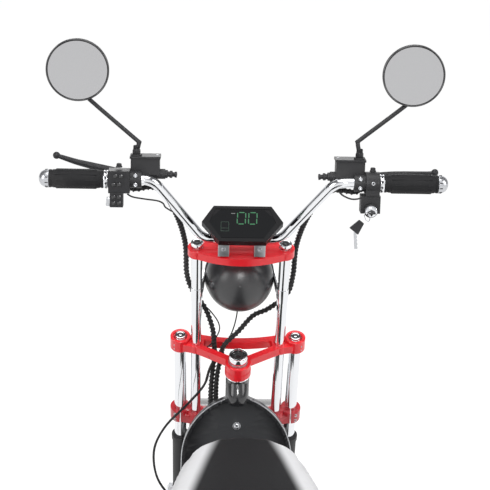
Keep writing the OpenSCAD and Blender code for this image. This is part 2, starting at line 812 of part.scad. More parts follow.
module middle_yoke() {
  ear_r = 23;
  inner_r = 19;
  bow = 13;
  bow_r = (inner_half * inner_half + bow * bow) / (2 * bow);
  bar_half = 8;
  arm = [inner_half - 4, -inner_back - 12];
  boss = [14, -stem_back + 8];
  square_to = [(boss - arm)[1], (arm - boss)[0]] / norm(boss - arm) * 7.5;
  color("crimson") in_fork() difference() {
    translate([0, 0, middle_yoke_s - middle_yoke_t / 2]) {
      both_sides() {
        translate([outer_half, 0, 0]) cylinder(h = middle_yoke_t, r = ear_r);
        translate([inner_half, -inner_back, 0]) cylinder(h = middle_yoke_t, r = inner_r);
        linear_extrude(middle_yoke_t) polygon([
          [outer_half, ear_r - 1], [inner_half, 6], [inner_half, -inner_back - 18],
          [outer_half, -ear_r + 1]
        ]);
        linear_extrude(middle_yoke_t)
          polygon([arm + square_to, boss + square_to, boss - square_to, arm - square_to]);
      }
      linear_extrude(middle_yoke_t) intersection() {
        difference() {
          translate([0, bow_r - bow + bar_half]) circle(r = bow_r + bar_half, $fn = 360);
          translate([0, bow_r - bow + bar_half]) circle(r = bow_r - bar_half, $fn = 360);
        }
        translate([-inner_half - 8, -40]) square([2 * inner_half + 16, 60]);
      }
      translate([0, -stem_back, 0]) cylinder(h = middle_yoke_t, r = 30);
    }
    tube_holes(middle_yoke_s, middle_yoke_t);
    translate([0, -stem_back, middle_yoke_s - 50]) cylinder(h = 100, d = stem_d + 2 * fit);
    for (side = [-1, 1]) translate([side * outer_half - 1.5, -40, middle_yoke_s - 40]) cube([3, 40, 80]);
  }
}

module upper_yoke() {
  bow = 22;
  back = -inner_back - 20;
  bow_r = (inner_half * inner_half + bow * bow) / (2 * bow);
  color("crimson") in_fork() difference() {
    translate([0, 0, upper_yoke_s - upper_yoke_t / 2]) linear_extrude(upper_yoke_t) {
      for (side = [-1, 1]) translate([side * inner_half, -inner_back]) circle(r = 21);
      translate([-inner_half, back]) square([2 * inner_half, 38]);
      intersection() {
        translate([0, back - bow + bow_r]) circle(r = bow_r, $fn = 360);
        translate([-inner_half, back - bow]) square([2 * inner_half, bow + 1]);
      }
    }
    for (side = [-1, 1]) translate([side * inner_half, -inner_back, upper_yoke_s - 40])
      cylinder(h = 80, d = inner_tube_d + 2 * fit);
  }
}

module inner_tubes() {
  foot = lower_yoke_s - lower_yoke_t / 2 - 8;
  top = upper_yoke_s + upper_yoke_t / 2 + 1;
  color("gainsboro") in_fork() for (side = [-1, 1]) translate([side * inner_half, -inner_back, 0]) {
    translate([0, 0, foot]) cylinder(h = top - foot, d = inner_tube_d);
    translate([0, 0, top]) cylinder(h = 4, d = 29);
    translate([0, 0, top + 4]) cylinder(h = 8, d = 22, $fn = 6);
  }
}

module outer_tubes() {
  foot = 50;
  top = middle_yoke_s + middle_yoke_t / 2 + 1;
  color("gainsboro") in_fork() for (side = [-1, 1]) translate([side * outer_half, 0, 0]) {
    translate([0, 0, foot]) cylinder(h = top - foot, d = outer_tube_d);
    translate([0, 0, top]) cylinder(h = 3, d = outer_tube_d + 4);
    translate([0, 0, top + 3]) intersection() {
      translate([0, 0, -8]) sphere(r = 17);
      cylinder(h = 12, r = 14.8);
    }
  }
}

module fork_sliders() {
  color("#2b2c2e") in_fork() for (side = [-1, 1]) translate([side * outer_half, 0, 0]) difference() {
    union() {
      translate([0, 0, -26]) cylinder(h = slider_top_s + 26, d = slider_d);
      translate([0, 0, slider_top_s - 14]) cylinder(h = 14, d = slider_d + 4);
      across(-slider_d / 2, slider_d / 2, 46);
    }
    translate([0, 0, 44]) cylinder(h = slider_top_s, d = outer_tube_d + 2 * fit);
    across(-60, 60, axle_d + 2 * fit);
  }
}

// Headlamp: a bowl whose open side looks straight ahead

module lamp_place() {
  in_fork() translate([0, lamp_ahead, lamp_s]) rotate([-rake, 0, 0]) children();
}

module headlamp_shell() {
  r = lamp_d / 2;
  color("#242527") lamp_place() rotate([-90, 0, 0]) {
    difference() {
      union() {
        difference() {
          sphere(r = r, $fn = 96);
          translate([-100, -100, 0]) cube([200, 200, 200]);
        }
        cylinder(h = 26, r = r);
        translate([0, 0, 20]) cylinder(h = 14, r = r + 3);
      }
      translate([0, 0, 26]) cylinder(h = 20, r = r - 6);
    }
  }
}

module headlamp_lens() {
  r = lamp_d / 2;
  color("lightcyan") lamp_place() rotate([-90, 0, 0]) intersection() {
    translate([0, 0, 26.2]) cylinder(h = 20, r = r - 6 - fit);
    translate([0, 0, 38 - 160]) sphere(r = 160, $fn = 180);
  }
}

module headlamp_brackets() {
  color("#2a2b2d") in_fork() both_sides() difference() {
    union() {
      translate([inner_half, -inner_back, lamp_s - 20]) cylinder(h = 40, d = inner_tube_d + 10);
      translate([lamp_d / 2 + fit, -inner_back, lamp_s - 14]) cube([7, lamp_ahead + inner_back + 10, 28]);
    }
    translate([inner_half, -inner_back, lamp_s - 60]) cylinder(h = 120, d = inner_tube_d + 2 * fit);
  }
}

// Handlebar and what it carries

module handlebar() {
  tip = bar_w / 2 - 3;
  color("gainsboro") in_fork() bent_tube([
    [-tip, end_a, end_s], [-high_bend_x, end_a, end_s],
    [-low_bend_x, -inner_back, bar_s], [low_bend_x, -inner_back, bar_s],
    [high_bend_x, end_a, end_s], [tip, end_a, end_s]
  ], bar_d, bar_bend_r);
}

module bar_clamps() {
  w = 25;
  yoke_top = upper_yoke_s + upper_yoke_t / 2;
  color("gainsboro") in_fork() both_sides() translate([40.5 - w / 2, -inner_back, 0]) difference() {
    union() {
      translate([0, -17, yoke_top]) cube([w, 34, bar_s - yoke_top + 1]);
      translate([0, 0, bar_s]) across(0, w, 36);
      translate([0, -26, bar_s - 9]) cube([w, 52, 18]);
    }
    translate([0, 0, bar_s]) across(-1, w + 1, bar_d + 2 * fit);
  }
}

// A grip's rubber sleeve, thicker in its middle
module grips() {
  bulge = 3;
  big_r = (grip_l * grip_l / 4 + bulge * bulge) / (2 * bulge);
  color("#222224") both_sides() on_bar_end(grip_in_x) rotate([0, 90, 0]) rotate_extrude()
    translate([0, fit]) difference() {
      intersection() {
        translate([grip_d / 2 - big_r, grip_l / 2]) circle(r = big_r, $fn = 720);
        square([grip_d, grip_l - 2 * fit]);
      }
      square([bar_d / 2 + fit, grip_l]);
    }
}

module grip_trims() {
  color("gainsboro") both_sides() {
    on_bar_end(grip_in_x - collar_l) difference() {
      across(0, collar_l, grip_d - 3);
      across(-1, collar_l + 1, bar_d + 2 * fit);
    }
    on_bar_end(grip_in_x + grip_l) difference() {
      union() {
        across(0, 8, grip_d - 4);
        across(8, cap_l - 4, grip_d - 8);
        across(cap_l - 4, cap_l, grip_d - 14);
      }
      across(-1, cap_l - 2.8, bar_d + 2 * fit);
    }
  }
}

// Where the left and the right master cylinder sit, from the centre plane
cylinder_x = [grip_in_x - collar_l - 70, grip_in_x - collar_l - 54];

module master_cylinder(lift) {
  difference() {
    union() {
      across(0, 24, bar_d + 14);
      translate([-38, 12, 8]) cube([62, 40, 36]);
      translate([-50, 28, 8]) across(0, 74, 22);
      translate([-40, 10, 43]) cube([66, 44, 5]);
      translate([12, 24, 0]) cylinder(h = 52, d = 24);
      translate([2, 0, -8]) cube([20, 30, 16]);
      translate([29, 40, 2]) rotate([0, -lift, 0]) translate([-14, -13, -8.4]) cube([30, 26, 16.8]);
    }
    translate([29, 40, 2]) rotate([0, -lift, 0]) {
      translate([-5, -20, -4 - fit]) cube([40, 40, 8 + 2 * fit]);
      translate([6, 0, -20]) cylinder(h = 40, d = 8);
    }
    across(-60, 60, bar_d + 2 * fit);
    translate([12, 24, 30]) cylinder(h = 40, d = 9.6);
  }
}

lever_lift = [12, 5];

module master_cylinders() {
  color("#2d2e30") {
    on_bar_end(cylinder_x[1]) master_cylinder(lever_lift[1]);
    mirror([1, 0, 0]) on_bar_end(cylinder_x[0]) master_cylinder(lever_lift[0]);
  }
}

// A lever blade with a ball end, on a pin between the cylinder's jaws
module lever(length, lift) {
  translate([29, 40, 2]) rotate([0, -lift, 0]) {
    linear_extrude(8, center = true) polygon([
      [0, -9], [26, -8], [44, 10], [60, 14], [length - 8, 2], [length, 4],
      [length - 6, 10], [60, 26], [36, 24], [18, 10], [0, 9]
    ]);
    translate([length, 6, 0]) sphere(d = 15);
    translate([6, 0, -9]) cylinder(h = 18, d = 8 - 2 * fit);
  }
}

module brake_levers() {
  color("#2b2c2e") {
    on_bar_end(cylinder_x[1]) lever(146, lever_lift[1]);
    mirror([1, 0, 0]) on_bar_end(cylinder_x[0]) lever(154, lever_lift[0]);
  }
}

// Length left for a housing between a master cylinder's clamp and the grip's collar
function housing_l(x) = grip_in_x - collar_l - fit - x - 24 - fit;

module switch_block() {
  w = housing_l(cylinder_x[0]);
  color("#2a2b2d") mirror([1, 0, 0]) on_bar_end(cylinder_x[0] + 24 + fit) difference() {
    union() {
      across(0, w, 40);
      translate([0, -24, -26]) cube([w, 40, 48]);
      translate([14, -26, -56]) cube([28, 26, 32]);
    }
    across(-1, w + 1, bar_d + 2 * fit);
  }
}

module throttle_housing() {
  w = housing_l(cylinder_x[1]);
  color("#2a2b2d") on_bar_end(cylinder_x[1] + 24 + fit) difference() {
    union() {
      across(0, w, 50);
      translate([0, -22, -24]) cube([w, 44, 20]);
    }
    across(-1, w + 1, bar_d + 2 * fit);
  }
}

module ignition_lock() {
  color("#303133") on_bar_end(cylinder_x[1] + 24 + 11) translate([0, -6, -25.4]) {
    translate([-20, -10, -38]) cube([42, 34, 38 - fit]);
    translate([1, -10, -30]) rotate([90, 0, 0]) cylinder(h = 10, d = 30);
    translate([1, -20, -30]) rotate([90, 0, 0]) cylinder(h = 5, d = 22);
    translate([-6, -50, -31]) cube([14, 30, 2.4]);
  }
}

// Display: a wide hexagon on a tongue from the bar clamps
module display() {
  half = display_w / 2;
  flat = half - 26;
  color("#262729") in_fork() {
    both_sides() translate([33.5, -inner_back - 12, bar_s + 18 + fit]) cube([14, 16, 36]);
    translate([0, -inner_back - 24, bar_s + 58]) rotate([display_tilt - rake, 0, 0]) difference() {
      translate([0, 0, -display_t / 2]) linear_extrude(display_t) polygon([
        [-half, 4], [-flat, display_h / 2], [flat, display_h / 2], [half, 4],
        [flat - 12, -display_h / 2], [-flat + 12, -display_h / 2]
      ]);
      translate([0, 0, display_t / 2 - 1.5]) linear_extrude(4) polygon([
        [-half + 16, 3], [-flat + 4, display_h / 2 - 7], [flat - 4, display_h / 2 - 7], [half - 16, 3],
        [flat - 18, -display_h / 2 + 7], [-flat + 18, -display_h / 2 + 7]
      ]);
    }
  }
}

// Mirrors: a stem from the cylinder's boss, a shallow shell and a flat glass
mirror_ahead = 22;

module mirror_place(x) {
  on_bar_end(mirror_x) translate([0, mirror_ahead, mirror_up]) rotate([6, 0, 0]) children();
}

module mirror_stem(x) {
  on_bar_end(x + 12) translate([0, 24, 0]) bent_tube([
    [0, 0, 30.2], [0, 0, 82], [mirror_x - x - 12 - 6, 14, mirror_up - 10]
  ], 9, 14);
}

module mirrors() {
  color("#2a2b2d") {
    mirror_one(cylinder_x[1]);
    mirror([1, 0, 0]) mirror_one(cylinder_x[0]);
  }
}

module mirror_one(x) {
  mirror_stem(x);
  difference() {
    mirror_place(x) rotate([-90, 0, 0]) intersection() {
      translate([0, 0, -4]) cylinder(h = 24, d = mirror_d);
      translate([0, 0, 18 - 140]) sphere(r = 140, $fn = 144);
    }
    mirror_place(x) rotate([-90, 0, 0]) translate([0, 0, -5]) cylinder(h = 4, d = mirror_d - 8);
  }
}

module mirror_glass() {
  color("lightgray") both_sides() mirror_place(0) rotate([-90, 0, 0]) translate([0, 0, -3.8])
    cylinder(h = 2.6, d = mirror_d - 8 - 2 * fit);
}

// Wiring: two wrapped looms that meet beside the stem, and thin leads

loom_d = 10;

// A point beside the bar's end: across, ahead of the bar and above it
function by_bar(x, ahead, up) = [
  x,
  end_a + ahead * cos(rake) + up * sin(rake),
  end_s - ahead * sin(rake) + up * cos(rake)
];

right_x = cylinder_x[1];
left_x = -cylinder_x[0];
loom_right = [
  by_bar(right_x + 30, 24.4, -14), by_bar(right_x + 30, 33, -14), by_bar(right_x + 19, 37, -21),
  by_bar(right_x + 4, 36, -27), by_bar(high_bend_x - 8, 43, -27), [high_bend_x - 46, 6, bar_s + 61],
  [inner_half + 28, 28, upper_yoke_s - 10], [inner_half + 24, 26, lamp_s + 28],
  [inner_half + 12, 22, lamp_s - 30], [70, 16, lamp_s - 72], [34, 12, lamp_s - 92],
  [0, -8, middle_yoke_s + 44], [-34, -26, middle_yoke_s + 14], [-40, -32, middle_yoke_s - 18],
  [-48, -48, middle_yoke_s - 56], [-51, -60, lower_yoke_s + 130], [-50.5, -64, lower_yoke_s + 60],
  [-50, -64, lower_yoke_s + 13]
];
loom_left = [
  by_bar(left_x - 42, 18.8, -14), by_bar(left_x - 42, 27, -14), by_bar(left_x - 32, 31, -21),
  by_bar(left_x - 16, 32, -27), by_bar(8 - high_bend_x, 43, -27),
  [46 - high_bend_x, 6, bar_s + 61], [-inner_half - 28, 28, upper_yoke_s - 10],
  [-inner_half - 24, 26, lamp_s + 28], [-inner_half - 10, 22, lamp_s - 22],
  [-80, 2, lamp_s - 60], [-62, -16, lamp_s - 108], [-57, -23, middle_yoke_s + 14],
  [-56, -27, middle_yoke_s - 16], [-60, -46, middle_yoke_s - 56], [-63, -62, lower_yoke_s + 130],
  [-63, -66, lower_yoke_s + 60], [-62, -66, lower_yoke_s + 13]
];

module wiring_looms() {
  color("#1c1c1e") in_fork() {
    cable(loom_right, loom_d, 4);
    cable(loom_left, loom_d, 4);
  }
}

hose_d = 6;
hose_route = [
  [-69, -51, middle_yoke_s - 48], [-75, -58, middle_yoke_s - 76], [-90, -60, lower_yoke_s + 120],
  [12 - outer_half, -66, lower_yoke_s + 70], [-outer_half - 32, -70, lower_yoke_s + 10],
  [-outer_half - 60, -70, slider_top_s + 38], [-outer_half - 66, -66, slider_top_s - 32],
  [-outer_half - 56, -74, slider_top_s - 92], [-outer_half - 30, -76, 66],
  [1 - outer_half, -71.3, 36.5], [19.2 - outer_half, -71.3, 36.5]
];

module brake_hose() {
  color("#1c1c1e") in_fork() cable(hose_route, hose_d, 4);
}

main_frame();
head_races();
foot_pan();
deck_mat();
battery_box();
controller_case();
seat_base();
seat();
swingarm();
pivot_bolt();
rear_shocks();
rear_axle();
rear_caliper();
rear_mudguard();
tail_lamp();
plate_bracket();
rear_rim();
rear_tyre();
rear_disc();
centre_stand();
steering_stem();
lower_yoke();
middle_yoke();
upper_yoke();
inner_tubes();
outer_tubes();
fork_sliders();
front_axle();
front_caliper();
front_mudguard();
headlamp_shell();
headlamp_lens();
headlamp_brackets();
handlebar();
bar_clamps();
grips();
grip_trims();
master_cylinders();
brake_levers();
switch_block();
throttle_housing();
ignition_lock();
display();
mirrors();
mirror_glass();
wiring_looms();
brake_hose();
front_rim();
front_tyre();
front_disc();
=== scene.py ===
# %% [markdown]
# # A fat-tyre electric chopper scooter, seen from the saddle
# The scooter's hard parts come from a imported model, and they stay where they are.
# This lesson dresses them: it sets the camera and the light, gives every part its finish,
# and models the small pieces that a rider sees. Lengths are in metres, +X is the rider's
# right, +Y is forward and +Z is up.

import math

import bmesh
import bpy
from mathutils import Matrix, Vector


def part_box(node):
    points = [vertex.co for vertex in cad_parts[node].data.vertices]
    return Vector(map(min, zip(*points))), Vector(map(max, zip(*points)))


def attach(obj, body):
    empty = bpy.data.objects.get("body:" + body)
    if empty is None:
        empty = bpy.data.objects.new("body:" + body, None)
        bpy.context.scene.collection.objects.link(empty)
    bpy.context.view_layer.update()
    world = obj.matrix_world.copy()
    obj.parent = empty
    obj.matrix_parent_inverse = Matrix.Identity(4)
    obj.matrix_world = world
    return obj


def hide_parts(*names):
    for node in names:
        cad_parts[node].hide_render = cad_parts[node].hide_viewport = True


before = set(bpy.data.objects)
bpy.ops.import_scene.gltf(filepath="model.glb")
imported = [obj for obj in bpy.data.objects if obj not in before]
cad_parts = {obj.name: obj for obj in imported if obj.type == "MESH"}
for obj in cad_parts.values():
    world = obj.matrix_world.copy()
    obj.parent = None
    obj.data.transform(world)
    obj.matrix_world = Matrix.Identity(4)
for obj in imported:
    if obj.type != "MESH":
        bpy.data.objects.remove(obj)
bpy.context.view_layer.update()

# %% [markdown]
# The fork leans back by its rake, so the pieces on it are easiest to place in the fork's own
# frame: its origin is the front axle, its Z runs up along the tubes. The axle's place is read
# from the front tyre's box, and the bar's straight ends are read from the grips.

# %% The fork's frame and the bar's frame
MM = 0.001
RAKE = math.radians(27)


def middle_of(node):
    low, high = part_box(node)
    return (low + high) / 2


front_axle = middle_of("front_tyre")
rear_axle = middle_of("rear_tyre")
bar_end = middle_of("grips")
fork_frame = Matrix.Translation((0, front_axle.y, front_axle.z)) @ Matrix.Rotation(RAKE, 4, "X")


def on_fork(x, ahead, up):
    """A point given in millimetres in the fork's frame."""
    return fork_frame @ Vector((x * MM, ahead * MM, up * MM))


def by_bar(x, ahead, up):
    """A point given in millimetres from the centre plane, ahead of the bar's end and above it."""
    return Vector((x * MM, bar_end.y + ahead * MM, bar_end.z + up * MM))


print("front axle:", front_axle, "bar end:", bar_end)

# %% [markdown]
# The photograph was taken from behind and above, a little to the left, with a long lens that
# keeps the handlebar and the fork in nearly true proportion. The camera takes the same place.

# %% The camera
camera_data = bpy.data.cameras.new("camera")
camera_data.sensor_width = 36
camera_data.lens = 105.9
camera_data.clip_end = 200
camera = bpy.data.objects.new("camera", camera_data)
bpy.context.scene.collection.objects.link(camera)
CAMERA_PLACE = Vector((-0.0803, -2.853, 1.7416))
CAMERA_PITCH, CAMERA_YAW, CAMERA_ROLL = 13.43, -1.60, 1.22
turn = (
    Matrix.Rotation(math.radians(CAMERA_YAW), 4, "Z")
    @ Matrix.Rotation(math.radians(90 - CAMERA_PITCH), 4, "X")
    @ Matrix.Rotation(math.radians(CAMERA_ROLL), 4, "Z")
)
camera.matrix_world = Matrix.Translation(CAMERA_PLACE) @ turn
bpy.context.scene.camera = camera

# %% [markdown]
# A studio floor that renders white is a pale floor whose brightness, seen by the camera or in
# chrome, is lifted by a little glow. Light that bounces off it stays plain, so the scooter is
# not lit from below more than a real studio would.

# %% Floor, sky and lamps
view = bpy.context.scene.view_settings
view.view_transform = "Standard"


def white_where_seen(tree, plain, white):
    """Mixes a plain shader with a white one for camera, glossy and transmission rays."""
    rays = tree.nodes.new("ShaderNodeLightPath")
    seen = rays.outputs["Is Camera Ray"]
    for name in ("Is Glossy Ray", "Is Transmission Ray"):
        either = tree.nodes.new("ShaderNodeMath")
        either.operation = "MAXIMUM"
        tree.links.new(seen, either.inputs[0])
        tree.links.new(rays.outputs[name], either.inputs[1])
        seen = either.outputs[0]
    mix = tree.nodes.new("ShaderNodeMixShader")
    tree.links.new(seen, mix.inputs[0])
    tree.links.new(plain, mix.inputs[1])
    tree.links.new(white, mix.inputs[2])
    return mix.outputs[0]


floor_size = 90
bpy.ops.object.select_all(action="DESELECT")
bpy.ops.mesh.primitive_plane_add(size=floor_size)
floor = bpy.context.active_object
floor.name = "floor"
paint = bpy.data.materials.new("studio floor")
paint.use_nodes = True
tree = paint.node_tree
tree.nodes.clear()
matt = tree.nodes.new("ShaderNodeBsdfDiffuse")
matt.inputs["Color"].default_value = (0.62, 0.62, 0.62, 1)
dim = tree.nodes.new("ShaderNodeBsdfDiffuse")
dim.inputs["Color"].default_value = (0.16, 0.16, 0.16, 1)
glow = tree.nodes.new("ShaderNodeEmission")
glow.inputs["Strength"].default_value = 0.92
both = tree.nodes.new("ShaderNodeAddShader")
tree.links.new(dim.outputs[0], both.inputs[0])
tree.links.new(glow.outputs[0], both.inputs[1])
out = tree.nodes.new("ShaderNodeOutputMaterial")
tree.links.new(white_where_seen(tree, matt.outputs[0], both.outputs[0]), out.inputs["Surface"])
floor.data.materials.append(paint)

world = bpy.data.worlds.new("studio")
bpy.context.scene.world = world
world.use_nodes = True
tree = world.node_tree
tree.nodes.clear()
soft = tree.nodes.new("ShaderNodeBackground")
soft.inputs["Color"].default_value = (1, 1, 1, 1)
soft.inputs["Strength"].default_value = 0.55
bright = tree.nodes.new("ShaderNodeBackground")
bright.inputs["Strength"].default_value = 1.0
place = tree.nodes.new("ShaderNodeTexCoord")
split = tree.nodes.new("ShaderNodeSeparateXYZ")
tree.links.new(place.outputs["Generated"], split.inputs[0])
# Chrome needs something dark to show its shape: the room to both sides is dim
ramp = tree.nodes.new("ShaderNodeValToRGB")
for stop, shade in ((0.0, 0.25), (0.30, 0.05), (0.58, 0.30), (0.84, 0.78)):
    element = ramp.color_ramp.elements.new(stop)
    element.color = (shade, shade, shade * 1.03, 1)
ramp.color_ramp.elements.remove(ramp.color_ramp.elements[0])
lift = tree.nodes.new("ShaderNodeMath")
lift.operation = "ABSOLUTE"
tree.links.new(split.outputs["Y"], lift.inputs[0])
tree.links.new(lift.outputs[0], ramp.inputs[0])
rays = tree.nodes.new("ShaderNodeLightPath")
choose = tree.nodes.new("ShaderNodeMix")
choose.data_type = "RGBA"
tree.links.new(rays.outputs["Is Glossy Ray"], choose.inputs["Factor"])
choose.inputs["A"].default_value = (1, 1, 1, 1)
tree.links.new(ramp.outputs[0], choose.inputs["B"])
tree.links.new(choose.outputs["Result"], bright.inputs["Color"])
out = tree.nodes.new("ShaderNodeOutputWorld")
tree.links.new(white_where_seen(tree, soft.outputs[0], bright.outputs[0]), out.inputs["Surface"])


def softbox(name, at, aim, size, power):
    lamp = bpy.data.lights.new(name, "AREA")
    lamp.shape = "RECTANGLE"
    lamp.size, lamp.size_y = size
    lamp.energy = power
    thing = bpy.data.objects.new(name, lamp)
    bpy.context.scene.collection.objects.link(thing)
    thing.location = at
    thing.rotation_euler = (Vector(aim) - Vector(at)).to_track_quat("-Z", "Y").to_euler()


softbox("top light", (0, -0.3, 3.6), (0, 0.1, 0.8), (2.6, 2.6), 62)
softbox("left light", (-3.2, -1.6, 2.2), (0, 0.1, 0.8), (1.6, 2.4), 42)
softbox("right light", (3.2, -1.0, 2.4), (0, 0.1, 0.8), (1.6, 2.4), 42)
softbox("front light", (0, 3.6, 2.6), (0, 0.1, 0.8), (2.4, 1.6), 30)
softbox("rider light", (0.1, -2.6, 2.1), (0, 0.4, 0.95), (0.4, 0.4), 24)

# %% [markdown]
# A finish is a small network of nodes. Written as sums it stays readable: `Number` wraps one
# socket, and adding or multiplying two of them adds the Math node that does it. `Finish`
# makes the material, and its one `node` method makes every other kind of node.

# %% Shader sums
class Number:
    """A socket that carries a number, so that shader maths reads as plain sums."""

    def __init__(self, finish, socket):
        self.finish, self.socket = finish, socket

    def sum(self, operation, *values):
        node = self.finish.node("Math", {"operation": operation}, *values)
        return Number(self.finish, node.outputs[0])

    def __add__(self, other):
        return self.sum("ADD", self, other)

    def __sub__(self, other):
        return self.sum("SUBTRACT", self, other)

    def __rsub__(self, other):
        return self.sum("SUBTRACT", other, self)

    def __mul__(self, other):
        return self.sum("MULTIPLY", self, other)

    def __truediv__(self, other):
        return self.sum("DIVIDE", self, other)

    def __gt__(self, other):
        return self.sum("GREATER_THAN", self, other)

    def __lt__(self, other):
        return self.sum("LESS_THAN", self, other)

    def size(self):
        return self.sum("ABSOLUTE", self)

    def power(self, other):
        return self.sum("POWER", self, other)

    def wave(self):
        return self.sum("SINE", self)

    def step(self, start, end):
        """0 before start, 1 after end, and a smooth rise between them."""
        node = self.finish.node(
            "MapRange", {"interpolation_type": "SMOOTHSTEP"}, self, start, end
        )
        return Number(self.finish, node.outputs[0])

    __radd__ = __add__
    __rmul__ = __mul__


class Finish:
    """A material, made from the values of its shader and what varies over its surface."""

    def __init__(self, name, color, roughness, metallic=0.0, **fixed):
        self.material = bpy.data.materials.new(name)
        self.material.use_nodes = True
        self.tree = self.material.node_tree
        self.shader = self.tree.nodes["Principled BSDF"]
        self.color = (*color, 1)
        self.fix("Base Color", self.color)
        self.fix("Roughness", roughness)
        self.fix("Metallic", metallic)
        for socket, value in fixed.items():
            self.fix(socket.replace("_", " ").title().replace("Ior", "IOR"), value)

    def fix(self, socket, value):
        self.shader.inputs[socket].default_value = value

    def vary(self, socket, value):
        self.tree.links.new(self.raw(value), self.shader.inputs[socket])

    def raw(self, value):
        return value.socket if isinstance(value, Number) else value

    def node(self, kind, settings=None, *inputs, **named):
        """Makes a node: its settings first, then its inputs by order and by name."""
        node = self.tree.nodes.new("ShaderNode" + kind)
        for key, value in (settings or {}).items():
            setattr(node, key, value)
        for key, value in [*enumerate(inputs), *named.items()]:
            socket = node.inputs[key]
            value = self.raw(value)
            if isinstance(value, bpy.types.NodeSocket):
                self.tree.links.new(value, socket)
            elif value is not None:
                socket.default_value = value
        return node

    def place(self, source="Object"):
        """The three coordinates of a point, as numbers."""
        split = self.node("SeparateXYZ", None, self.node("TexCoord").outputs[source])
        return [Number(self, split.outputs[k]) for k in range(3)]

    def noise(self, scale, detail=3.0, stretch=None):
        where = self.node("TexCoord").outputs["Object"]
        if stretch:
            where = self.node("Mapping", None, where, Scale=stretch).outputs[0]
        node = self.node("TexNoise", None, where, Scale=scale, Detail=detail)
        return Number(self, node.outputs["Fac"])

    def cells(self, scale):
        where = self.node("TexCoord").outputs["Object"]
        node = self.node("TexVoronoi", None, where, Scale=scale)
        return Number(self, node.outputs["Distance"])

    def blend(self, mask, first, second):
        node = self.node("Mix", {"data_type": "RGBA"})
        self.tree.links.new(self.raw(mask), node.inputs["Factor"])
        for name, value in (("A", first), ("B", second)):
            if isinstance(value, bpy.types.NodeSocket):
                self.tree.links.new(value, node.inputs[name])
            else:
                node.inputs[name].default_value = (*value[:3], 1)
        return node.outputs["Result"]

    def bump(self, height, strength, distance):
        node = self.node("Bump", None, Strength=strength, Distance=distance, Height=height)
        self.tree.links.new(node.outputs[0], self.shader.inputs["Normal"])

    def wear(self, dust=(0.3, 0.29, 0.27), amount=0.12):
        """Faint dust and handling marks that break up an even colour."""
        marks = self.noise(9, 4).step(0.46, 0.8) * amount
        self.vary("Base Color", self.blend(marks, self.color, dust))
        return self


# %% [markdown]
# Chrome is a mirror with a very faint haze. The haze keeps its reflections from looking like
# cut glass.

# %% Metal finishes
def chrome_finish():
    chrome = Finish("bright chrome", (0.80, 0.81, 0.83), 0.06, 1.0)
    haze = chrome.noise(38, 2)
    chrome.vary("Roughness", haze * 0.05 + 0.035)
    return chrome


def steel_finish():
    steel = Finish("zinc plated steel", (0.55, 0.56, 0.58), 0.32, 1.0)
    grain = steel.noise(90, 3, (1, 1, 14))
    steel.vary("Roughness", grain * 0.22 + 0.22)
    steel.bump(grain, 0.12, 0.0004)
    return steel


def disc_finish():
    disc = Finish("ground brake steel", (0.62, 0.62, 0.63), 0.3, 1.0)
    rings = disc.noise(160, 2, (0.2, 1, 1))
    disc.vary("Roughness", rings * 0.25 + 0.2)
    disc.bump(rings, 0.15, 0.0003)
    return disc


def red_finish(name, color, shade_color):
    """Machined yokes under a rich red coat: even colour, a soft gloss and a fine grain. Called a second time with
    darker colours, it makes a copy whose darkness is painted shade.
    """
    red = Finish(name, color, 0.3, 0.0, coat_weight=0.25)
    red.fix("Coat Roughness", 0.12)
    grain = red.noise(420, 2)
    shade = red.noise(7, 2)
    red.vary("Roughness", grain * 0.12 + 0.24)
    red.vary("Base Color", red.blend(shade * 0.35, red.color, shade_color))
    red.bump(grain, 0.05, 0.0003)
    return red


# %% [markdown]
# Black parts differ in gloss more than in colour: paint on the frame is glossy, cast levers and
# brackets are satin, mouldings are finely grained, and rubber is dull.

# %% Black finishes
def gloss_black_finish():
    paint = Finish("gloss black paint", (0.018, 0.018, 0.020), 0.22, coat_weight=0.6)
    paint.fix("Coat Roughness", 0.06)
    ripple = paint.noise(60, 2)
    paint.bump(ripple, 0.05, 0.0006)
    paint.vary("Roughness", paint.noise(14, 3) * 0.14 + 0.16)
    return paint.wear(amount=0.04)


def display_case_finish():
    """The display is one smooth dark housing that reflects little."""
    case = Finish("display housing", (0.004, 0.004, 0.005), 0.3, specular_ior_level=0.12)
    case.vary("Roughness", case.noise(40, 2) * 0.12 + 0.2)
    case.bump(case.noise(500, 2), 0.06, 0.0002)
    return case


def bowl_finish():
    """The headlamp bowl's satin paint spreads one soft highlight over its back."""
    bowl = Finish("satin bowl paint", (0.014, 0.014, 0.016), 0.42, specular_ior_level=0.9)
    peel = bowl.noise(180, 2)
    bowl.vary("Roughness", bowl.noise(20, 3) * 0.08 + 0.30)
    bowl.bump(peel, 0.05, 0.0003)
    return bowl


def satin_black_finish():
    satin = Finish("satin black casting", (0.020, 0.020, 0.022), 0.42, specular_ior_level=0.36)
    grain = satin.noise(700, 2)
    satin.vary("Roughness", grain * 0.2 + 0.4)
    satin.bump(grain, 0.18, 0.0003)
    return satin.wear(amount=0.05)


def moulded_black_finish():
    moulding = Finish("grained black moulding", (0.015, 0.015, 0.017), 0.5, specular_ior_level=0.36)
    grain = moulding.cells(900)
    moulding.vary("Roughness", moulding.noise(22, 3) * 0.2 + 0.36)
    moulding.bump(grain, 0.22, 0.0003)
    return moulding.wear(amount=0.07)


